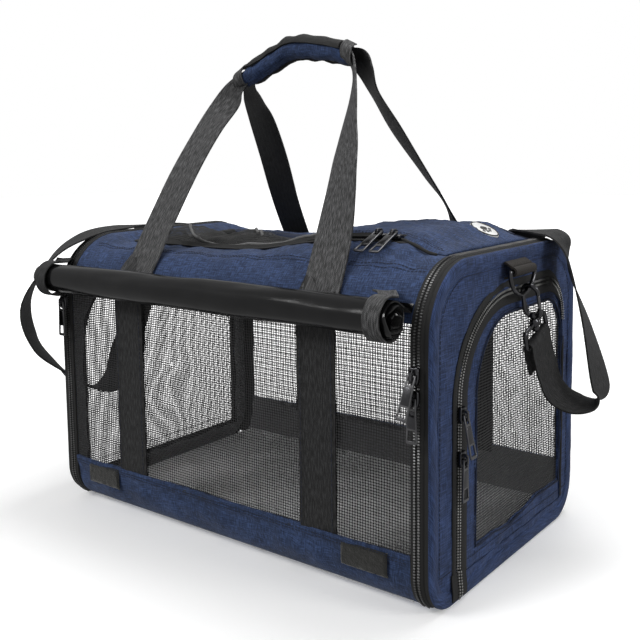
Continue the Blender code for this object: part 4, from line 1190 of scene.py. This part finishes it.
# ---- webbing sewn to the sides, and hook-and-loop patches ----
def build_sewn_webbing():
    for sign, word in SIDES:
        for hand, half in HANDS[::-1]:
            s = spread(S_BAND - 0.008, 0.004, S_WEB)
            y, z = around(s, 0.001 - 0.0022 * (1 - ease(s, S_BAND - 0.008, S_BAND + 0.006)))
            # The rear webbing takes the darker copy, painted shade.
            shade = WEBBING if sign > 0 else WEBBING_PAINTED_SHADE
            web = ribbon(f"{word}_{half}_sewn_webbing", xyz(hand * WEB_X, sign * y, z), (1, 0, 0),
                         WEB_WIDTH, [shade], WEB, 8)
            put(web, "shell", "webbing", f"{word}_{half}_webbing")
            y, z = around(s[3:], 0.003)
            lines = [(xyz(hand * WEB_X + edge, sign * y, z), (0, -sign, 0)) for edge in (-0.016, 0.016)]
            thread = stitches(f"{word}_{half}_webbing_stitches", lines, THREAD_DARK, 0.0042)
            put(thread, "shell", "webbing")
    for hand, half in HANDS[::-1]:
        s = spread(at_height(0.0272), 0.002, at_height(0.0478))
        x = spread(hand * 0.161 - 0.0228, 0.002, hand * 0.161 + 0.0228)
        ss, xx = np.meshgrid(s, x, indexing="ij")
        edge = np.minimum(np.minimum(xx - x[0], x[-1] - xx), np.minimum(ss - s[0], s[-1] - ss))
        y, z = around(ss, 0.0012 + 0.0018 * ease(edge, -0.0005, 0.0018)
                      + 0.0003 * waves(np.stack([xx, ss], -1), 0.006, 91))
        patch = grid(f"{half}_patch", xyz(xx, y, z), [VELCRO], 0.001, away=(0, 0, 0.1))
        put(patch, "shell", "velcro", f"{half}_velcro_patch")


# ---- handles ----
GRIP_LINE = [(-0.081, 0.4415), (-0.045, 0.4565), (-0.015, 0.467), (0.02, 0.4635), (0.051, 0.4565)]
GRIP_X, GRIP_HALF = -0.0135, 0.068        # its middle and half length
GRIP_DEEP, GRIP_TALL = 0.0126, 0.0098     # its section's two radii


def grip_z(x):
    return np.interp(x, *np.array(GRIP_LINE).T)


def build_handles():
    inside = [(x, float(grip_z(x))) for x in (-0.0735, -0.045, -0.015, 0.02, 0.045)]
    w = WEB_WIDTH
    front = [(-0.106, -FOOT_Y, FOOT_Z), (-0.1045, -0.105, 0.297), (-0.1, -0.074, 0.347),
             (-0.0965, -0.043, 0.388), (-0.0925, -0.02, 0.415), (-0.088, -0.01, 0.432)]
    front += [(x, -0.0045, z) for x, z in inside]
    front += [(0.057, -0.006, 0.451), (0.063, -0.01, 0.437), (0.068, -0.02, 0.416),
              (0.08, -0.046, 0.38), (0.095, -0.074, 0.347), (0.108, -0.105, 0.297),
              (0.115, -FOOT_Y, FOOT_Z)]
    rear = [(-0.118, FOOT_Y, FOOT_Z), (-0.113, 0.1, 0.305), (-0.101, 0.064, 0.36),
            (-0.09, 0.032, 0.401), (-0.087, 0.017, 0.419), (-0.085, 0.0095, 0.433)]
    rear += [(x, 0.0045, z) for x, z in inside]
    rear += [(0.057, 0.006, 0.452), (0.064, 0.008, 0.44), (0.071, 0.012, 0.42),
             (0.088, 0.025, 0.384), (0.109, 0.05, 0.336), (0.113, 0.092, 0.296),
             (0.115, FOOT_Y, FOOT_Z)]
    width = [w, w, w, 0.036, 0.03, 0.018, *[0.012] * 5]
    left = [(1, 0, 0)] * 3 + [(1, 0, -0.1), (0.9, 0.1, -0.4), (0.5, 0.2, -0.8)] + [(0, 0, -1)] * 5
    # The right legs are twisted, as they lie in the hand's grip.
    front_right = [(-0.4, 0.5, -0.8), (-0.64, 0.77, -0.2), (-0.68, 0.73, 0), (-0.81, 0.59, 0),
                   (-0.91, 0.42, 0), (-1, 0.09, 0), (-1, 0, 0)]
    rear_right = [(-0.6, 0.1, -0.8), (-0.85, 0.5, -0.3), (-0.72, 0.68, 0), (-0.74, 0.67, 0),
                  (-0.64, 0.77, 0), (-0.55, 0.83, 0), (-1, 0, 0)]
    # The front handle takes the lighter copy of the webbing, painted light; the rear one takes the
    # darker copy, painted shade.
    for path, sign, word, shade, right, wide in (
            (front, -1, "front", WEBBING_PAINTED_LIGHT, front_right, [0.016, 0.024, 0.03, 0.036, w, w, w]),
            (rear, 1, "rear", WEBBING_PAINTED_SHADE, rear_right, [0.022, 0.028, 0.032, w, 0.034, w, w])):
        # Both ends run down over the top of the sewn webbing.
        low_y, low_z = around(at_height(WEB_TOP - 0.01), 0.0022)
        high_y, high_z = around(at_height(WEB_TOP - 0.002), 0.0024)
        left_foot, right_foot = (
            [(hand * WEB_X, sign * abs(low_y), low_z),
             (hand * (WEB_X * 0.6 + 0.043), sign * abs(high_y), high_z)] for hand in (-1, 1))
        points = [*left_foot, *path, *right_foot[::-1]]
        widths = [w, w, *width, *wide, w, w]
        sides = [(1, 0, 0)] * 2 + left + right + [(-1, 0, 0)] * 2
        both = through([(*p, size, *side) for p, size, side in zip(points, widths, sides)], 8)
        cup = 0.0016 * bell(both[:, 3], 0.03, 0.008) * np.sin(np.arange(len(both)) * 0.21)
        web = ribbon(f"{word}_handle_webbing", both[:, :3], both[:, 4:], both[:, 3], [shade],
                     WEB, 8, cup)
        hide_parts(f"{word}_handle")
        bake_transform(web)
    build_grip()


def grip_points(x, angle, grow):
    """Points round the grip, this far out from its foam. angle is from the back over the top."""
    smooth = through(GRIP_LINE, 12)
    a = np.radians(angle)
    puff = 1 - 0.14 * (np.abs((x - GRIP_X) / GRIP_HALF) ** 6)
    return xyz(x, (GRIP_DEEP * puff + grow) * np.cos(a),
               np.interp(x, *smooth.T) + (GRIP_TALL * puff + grow) * np.sin(a) - 0.001)


def grip_shell(name, x, angle, grow, mats, thick, seed):
    """Cloth round the grip, with its creases."""
    a = np.radians(angle)
    crease = 0.0007 * waves(xyz(x, 0.014 * np.cos(a), 0.014 * np.sin(a)), 0.022, seed)
    return grid(name, grip_points(x, angle, grow + crease), mats, thick,
                away=(x.mean(), 0, grip_z(x).mean()), sharp=60)


def build_grip():
    angle, x = np.meshgrid(np.linspace(86, 274, 32), spread(-0.081, 0.003, 0.053), indexing="ij")
    pad = grip_shell("grip_sleeve", x, angle, 0.0, [NAVY, LINING], 0.003, 101)
    put(pad, "front_handle", "navy_fabric", "grip_pad")
    angle, share = np.meshgrid(np.linspace(-86, 156, 44), np.linspace(0, 1, 44), indexing="ij")
    over = ease(angle, 60, 156)
    low = -0.07 - 0.016 * bell(angle, 112, 34) + 0.008 * over**2
    high = 0.05 - 0.003 * over
    x = low + (high - low) * share
    puffed = 0.0016 + 0.0028 * bell(angle, 118, 42)
    flap = grip_shell("grip_wrap", x, angle, puffed, [TAPE, VELCRO], 0.0022, 103)
    put(flap, "rear_handle", "velcro", "grip_flap")
    rims = [grip_points(x[:, k], angle[:, k], puffed[:, k] - 0.001)[3:-9] for k in (0, -1)]
    rims = [tube("rim", rim, 0.0011, [TAPE], 8) for rim in rims]
    put(join("grip_wrap_edge", rims), "rear_handle", "webbing")
    turn = np.radians(np.linspace(95, 266, 20))
    # The collars take the lighter copy of the webbing, painted light.
    for at, name, rise in ((-0.083, "grip_collar_left", 0.6), (0.0545, "grip_collar_right", -0.5)):
        ring = xyz(at, 0.0125 * np.cos(turn), grip_z(at) + 0.011 * np.sin(turn))
        collar = ribbon(name, ring, (1, 0, rise), 0.012, [WEBBING_PAINTED_LIGHT], 0.0012, 3)
        put(collar, "front_handle", "webbing")


# ---- floor mat ----
def build_mat():
    u, v = np.meshgrid(np.linspace(-1, 1, 101), np.linspace(-1, 1, 65))
    edge = np.maximum(np.abs(u) ** 26, np.abs(v) ** 18)
    x, y = 0.1995 * u, 0.1265 * v
    spots = np.stack([x, y], -1)
    z = 0.0145 - 0.0028 * edge + 0.0009 * waves(spots, 0.06, 111) * (1 - edge)
    z -= 0.0012 * np.exp(-((np.abs(x) - 0.066) / 0.0025) ** 2)
    pad = grid("mat_cushion", xyz(x, y, np.minimum(z, 0.0152)), [FELT], 0.0078, away=(0, 0, -9))
    soft = pad.modifiers.new("edges", "BEVEL")
    soft.width, soft.segments, soft.angle_limit = 0.0022, 2, math.radians(50)
    put(pad, "shell", "mat_felt", "floor_mat")


# ---- rings, hooks and the shoulder strap ----
TAB_X, TAB_Z = 0.231, 0.262
RING_HALF, RING_DROP = 0.0245, 0.021
HOOK_Y, HOOK_TILT = 0.01, math.radians(20)
HOOK_Z = TAB_Z - RING_DROP * math.sqrt(1 - (HOOK_Y / RING_HALF) ** 2)
POST_X, EYE_R, BAR_DROP = 0.002, 0.007, 0.0485
HANG = Matrix.Translation((TAB_X, HOOK_Y, HOOK_Z + 0.0006)) @ Matrix.Rotation(HOOK_TILT, 4, "X")
HALF_TURN = Matrix.Rotation(math.pi, 4, "Z")


def build_hardware():
    for hand, word in HANDS:
        home = Matrix.Identity(4) if hand > 0 else HALF_TURN
        # The D: its round part below, then back along its straight bar.
        ring = [(-RING_HALF, 0.0), *arc((0, 0), (RING_HALF, RING_DROP), 184, 356, 40), (RING_HALF, 0.0)]
        ring += [(y, 0.0) for y in np.linspace(RING_HALF, -RING_HALF, 20)[1:-1]]
        d_ring = tube(f"{word}_ring_wire", [(TAB_X, y, TAB_Z + z) for y, z in ring], 0.0019, [GUNMETAL],
                      14, closed=True)
        hook = [(POST_X + EYE_R, -0.0045), (POST_X + EYE_R, -0.0035)]
        hook += [*arc((POST_X, -0.003), (EYE_R, EYE_R), 0, 180, 16)]
        hook += [(POST_X - EYE_R, z) for z in (-0.008, -0.013, -0.0185)]
        hook += [*arc((POST_X, -0.019), (EYE_R, 0.0075), 188, 352, 14)]
        x, z = through(hook, 2).T
        fat = 0.0018 + 0.0009 * bell(z, -0.021, 0.006) + 0.0004 * bell(z, 0.003, 0.003)
        whole = join(f"{word}_hook_wire", [
            tube("wire", xyz(x, 0, z), fat, [GUNMETAL], 14),
            tube("stem", xyz(POST_X, 0, [-0.025, -0.038]), 0.0023, [GUNMETAL], 16),
            tube("head", xyz(POST_X, 0, [-0.0362, -0.039]), 0.0036, [GUNMETAL], 16),
            tube("shoulder", xyz(POST_X, 0, [-0.0255, -0.0285]), [0.0042, 0.003], [GUNMETAL], 16)])
        gate = tube(f"{word}_gate_wire", xyz(POST_X + EYE_R, 0, [-0.006, -0.012, -0.019]), 0.0015,
                    [BRUSHED], 12)
        corners = [arc((y, z), (0.0035, 0.0035), start, start + 90, 6) for y, z, start in (
            (-0.018, -0.0365, 90), (-0.018, -0.045, 180), (0.018, -0.045, 270), (0.018, -0.0365, 0))]
        bar = resample(at_x(POST_X, np.concatenate(corners)), 0.0012, closed=True)
        swivel = join(f"{word}_swivel_frame", [
            tube("frame", bar, 0.0019, [GUNMETAL], 12, closed=True),
            tube("boss", xyz(POST_X, 0, [-0.0303, -0.033, -0.0352]), [0.004, 0.0048, 0.0042],
                 [GUNMETAL], 18)])
        # The tab of cloth that holds the ring, folded over its bar and sewn to the end.
        fold = [(0.2232, 0.0075), (0.2262, 0.0062), (0.2296, 0.004)]
        fold += [*arc((TAB_X, 0), (0.0032, 0.0032), 110, -110, 11)]
        fold += [(0.2292, -0.004), (0.2258, -0.0055), (0.2232, -0.0062)]
        tab = ribbon(f"{word}_tab", [(x, 0.0, TAB_Z + z) for x, z in fold], (0, 1, 0), 0.04, [TAB],
                     0.0018, 8)
        for piece, at, body, slot, node in (
                (d_ring, home, "ring", "gunmetal", "d_ring"),
                (whole, home @ HANG, "hook", "gunmetal", "snap_hook"),
                (gate, home @ HANG, "gate", "gunmetal", "hook_gate"),
                (swivel, home @ HANG, "swivel", "gunmetal", "swivel_base"),
                (tab, home, None, "webbing", "ring_tab")):
            piece.matrix_world = at
            put(piece, f"{word}_{body}" if body else "shell", slot, f"{word}_{node}")


def build_strap():
    wrap = 0.0036
    over = [(POST_X - 0.0022, 0, -BAR_DROP - 0.028), (POST_X - wrap, 0, -BAR_DROP - 0.01),
            (POST_X - wrap, 0, -BAR_DROP), (POST_X - 0.0025, 0, -BAR_DROP + 0.0026),
            (POST_X, 0, -BAR_DROP + wrap), (POST_X + 0.0025, 0, -BAR_DROP + 0.0026),
            (POST_X + wrap, 0, -BAR_DROP), (POST_X + wrap, 0, -BAR_DROP - 0.01)]
    right_end = [tuple(HANG @ Vector(p)) for p in over]
    left_end = [(-x, -y, z) for x, y, z in reversed(right_end)]
    e = (0.0, math.cos(HOOK_TILT), math.sin(HOOK_TILT))
    middle = [
        (0.2385, 0.038, 0.168, 0, 1, 0.3), (0.243, 0.044, 0.15, -0.05, 0.97, 0.3),
        (0.254, 0.054, 0.1385, -0.15, 0.95, 0.22), (0.268, 0.065, 0.1365, -0.1, 0.98, 0.1),
        (0.2755, 0.0715, 0.144, 0, 1, 0), (0.2715, 0.0735, 0.164, 0, 1, 0),
        (0.258, 0.077, 0.208, -0.25, 0.97, 0), (0.243, 0.079, 0.248, -0.45, 0.89, 0),
        (0.235, 0.081, 0.2715, -0.3, 0.95, 0), (0.2235, 0.086, 0.2838, 0.1, 0.97, 0),
        (0.203, 0.095, 0.2872, 0.5, 0.8, 0), (0.185, 0.113, 0.283, 0.8, 0.5, -0.1),
        (0.17, 0.138, 0.276, 0.9, 0.35, -0.1), (0.16, 0.164, 0.27, 0.8, 0.1, -0.55),
        (0.148, 0.186, 0.257, 0.3, 0, -1), (0.12, 0.188, 0.242, 0, 0, -1),
        (0.03, 0.183, 0.236, 0, 0, -1), (-0.09, 0.183, 0.236, 0, 0, -1),
        (-0.19, 0.183, 0.238, 0, 0, -1), (-0.228, 0.174, 0.24, 0, 0, -1),
        (-0.248, 0.14, 0.244, 0, 0, -1), (-0.248, 0.09, 0.254, -0.2, 0, -1),
        (-0.244, 0.04, 0.268, -0.7, 0, -0.7), (-0.234, -0.01, 0.2815, -1, 0, -0.15),
        (-0.2295, -0.055, 0.2828, -1, 0.05, 0), (-0.2295, -0.098, 0.2775, -0.98, 0.15, -0.05),
        (-0.2345, -0.138, 0.257, -0.85, 0.5, -0.1), (-0.242, -0.168, 0.213, -0.66, 0.75, 0),
        (-0.243, -0.159, 0.17, -0.7, 0.7, 0), (-0.243, -0.13, 0.138, -0.85, 0.45, 0),
        (-0.243, -0.103, 0.113, -1, 0.1, 0), (-0.243, -0.072, 0.101, -1, 0, 0),
        (-0.242, -0.048, 0.115, -0.9, -0.4, 0), (-0.239, -0.038, 0.142, -0.5, -0.9, 0),
        (-0.2375, -0.034, 0.16, -0.1, -1, 0.2)]
    rows = [(*p, *e) for p in right_end] + middle + [(*p, 0, -e[1], e[2]) for p in left_end]
    per = 8
    both = through(np.array(rows), per)
    ahead = np.gradient(both[:, :3], axis=0)
    last = len(rows) - 1
    cuts = {"right_strap_wrap": (0, 7), "right_strap_neck": (7, 8), "right_strap_drop": (8, 10),
            "right_strap_rise": (10, 15), "shoulder_webbing": (15, last - 15),
            "left_strap_rise": (last - 15, last - 10), "left_strap_drop": (last - 10, last - 8),
            "left_strap_neck": (last - 8, last - 7), "left_strap_wrap": (last - 7, last)}
    for name, (a, b) in cuts.items():
        part = both[a * per:b * per + 1]
        web = ribbon(name, part[:, :3], part[:, 3:], WEB_WIDTH, [WEBBING], WEB, 8,
                     ahead=ahead[a * per:b * per + 1])
        word = name.split("_")[0]
        if name == "shoulder_webbing":
            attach(web, "shell")
            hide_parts("shoulder_strap")
        elif name.endswith("wrap"):
            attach(web, f"{word}_swivel")
        else:
            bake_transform(web)


# ---- sliders and pulls ----
PULL_AXIS = 0.0056
CROSS_SHIFT = Vector((0.0025, -0.0006, 0))
XZ = Matrix(((1, 0, 0), (0, 0, -1), (0, 1, 0))).to_4x4()
YZ = Matrix(((0, 0, 1), (1, 0, 0), (0, 1, 0))).to_4x4()


def mirrored(*half):
    """An outline from its right half, bottom to top."""
    return [*half, *((-x, y) for x, y in half[::-1])]


def slider_piece(name, cross):
    body = mirrored((0.0032, -0.0065), (0.0045, -0.002), (0.0045, 0.0055), (0.003, 0.0066),
                    (0.001, 0.006))
    block = plate("block", body, [], 0.0036, 0.0007, [GUNMETAL])
    block.matrix_world = Matrix.Translation((0, -0.0022, 0)) @ XZ
    hump = [(0.001, -0.0048), (0.001, 0.0048), (-0.003, 0.0048), (-0.0045, 0.0034),
            (-0.0047, 0.0), (-0.0045, -0.0034), (-0.003, -0.0048)]
    tunnel = [(-0.0006, -0.002), (-0.0006, 0.002), (-0.0034, 0.002), (-0.0034, -0.002)]
    bridge = plate("bridge", hump, [tunnel], 0.0024, 0.0004, [GUNMETAL])
    bridge.matrix_world = Matrix.Translation((0, -0.0036, 0)) @ YZ
    if cross:
        bridge.matrix_world = (Matrix.Translation(CROSS_SHIFT)
                               @ Matrix.Rotation(math.pi / 2, 4, "Y") @ bridge.matrix_world)
    bpy.context.view_layer.update()
    return join(name, [block, bridge])


def pull_piece(name):
    shape = mirrored((0.0036, -0.0346), (0.0046, -0.034), (0.005, -0.0325), (0.0039, -0.009),
                     (0.0038, 0.0009))
    eye = mirrored((0.0024, -0.0066), (0.0023, -0.0009))
    low = mirrored((0.0036, -0.032), (0.003, -0.024))
    frame_part = plate("pull_frame", shape, [eye, low], 0.0016, 0.0004, [BRUSHED])
    frame_part.matrix_world = XZ
    tab = mirrored((0.0037, -0.0225), (0.0031, -0.0085))
    raised = plate("pull_tab", tab, [], 0.0022, 0.0005, [GUNMETAL])
    raised.matrix_world = XZ
    bpy.context.view_layer.update()
    return join(name, [frame_part, raised])


def tipped(out, aside=0.0):
    return (Matrix.Rotation(math.radians(aside), 4, "Y")
            @ Matrix.Rotation(math.radians(-out), 4, "X"))


def build_sliders():
    front_y = -HALF_W - 0.0026
    right = Matrix.Rotation(math.pi / 2, 4, "Z")
    door_y = DOOR_FRONT - 0.0027
    roof_turn = Matrix(((0, 0, 1, 0), (-1, 0, 0, 0), (0, -1, 0, 0), (0, 0, 0, 1)))
    forward = Matrix.Rotation(math.radians(24), 4, "Z") @ Matrix.Rotation(math.radians(-90), 4, "Y")
    edge_y = HATCH_Y + HATCH_ZIP
    places = [
        ("corner_upper", Matrix.Translation((ZIP_X, front_y, 0.1965)), tipped(16, 6), False),
        ("corner_lower", Matrix.Translation((ZIP_X, front_y, 0.1785)), tipped(0), False),
        ("left_corner", Matrix.Translation((-ZIP_X, front_y, 0.213)), tipped(0), False),
        ("door_upper", Matrix.Translation((0.2222, door_y, 0.156)) @ right, tipped(12), False),
        ("door_lower", Matrix.Translation((0.2222, door_y, 0.12)) @ right, tipped(0), False)]
    for x, name in ((0.135, "hatch_left"), (0.15, "hatch_right")):
        top = HEIGHT + float(crown(x, -edge_y)) + 0.002
        home = Matrix.Translation((x, -edge_y, top)) @ roof_turn
        places.append((name, home, forward, True))
    for name, home, turn, cross in places:
        body = slider_piece(f"{name}_runner", cross)
        body.matrix_world = home
        put(body, f"{name}_slider", "gunmetal", f"{name}_slider")
        axis = Vector((0, -PULL_AXIS, 0)) + (CROSS_SHIFT if cross else Vector((0, 0, 0)))
        pull = pull_piece(f"{name}_tab")
        pull.matrix_world = home @ Matrix.Translation(axis) @ turn
        put(pull, f"{name}_pull", "gunmetal", f"{name}_pull")


build_bottom()
build_side_nets()
build_roof()
build_hatch()
build_pocket()
build_badge()
build_ends()
build_curtains()
build_sewn_webbing()
build_handles()
build_mat()
build_hardware()
build_strap()
build_sliders()
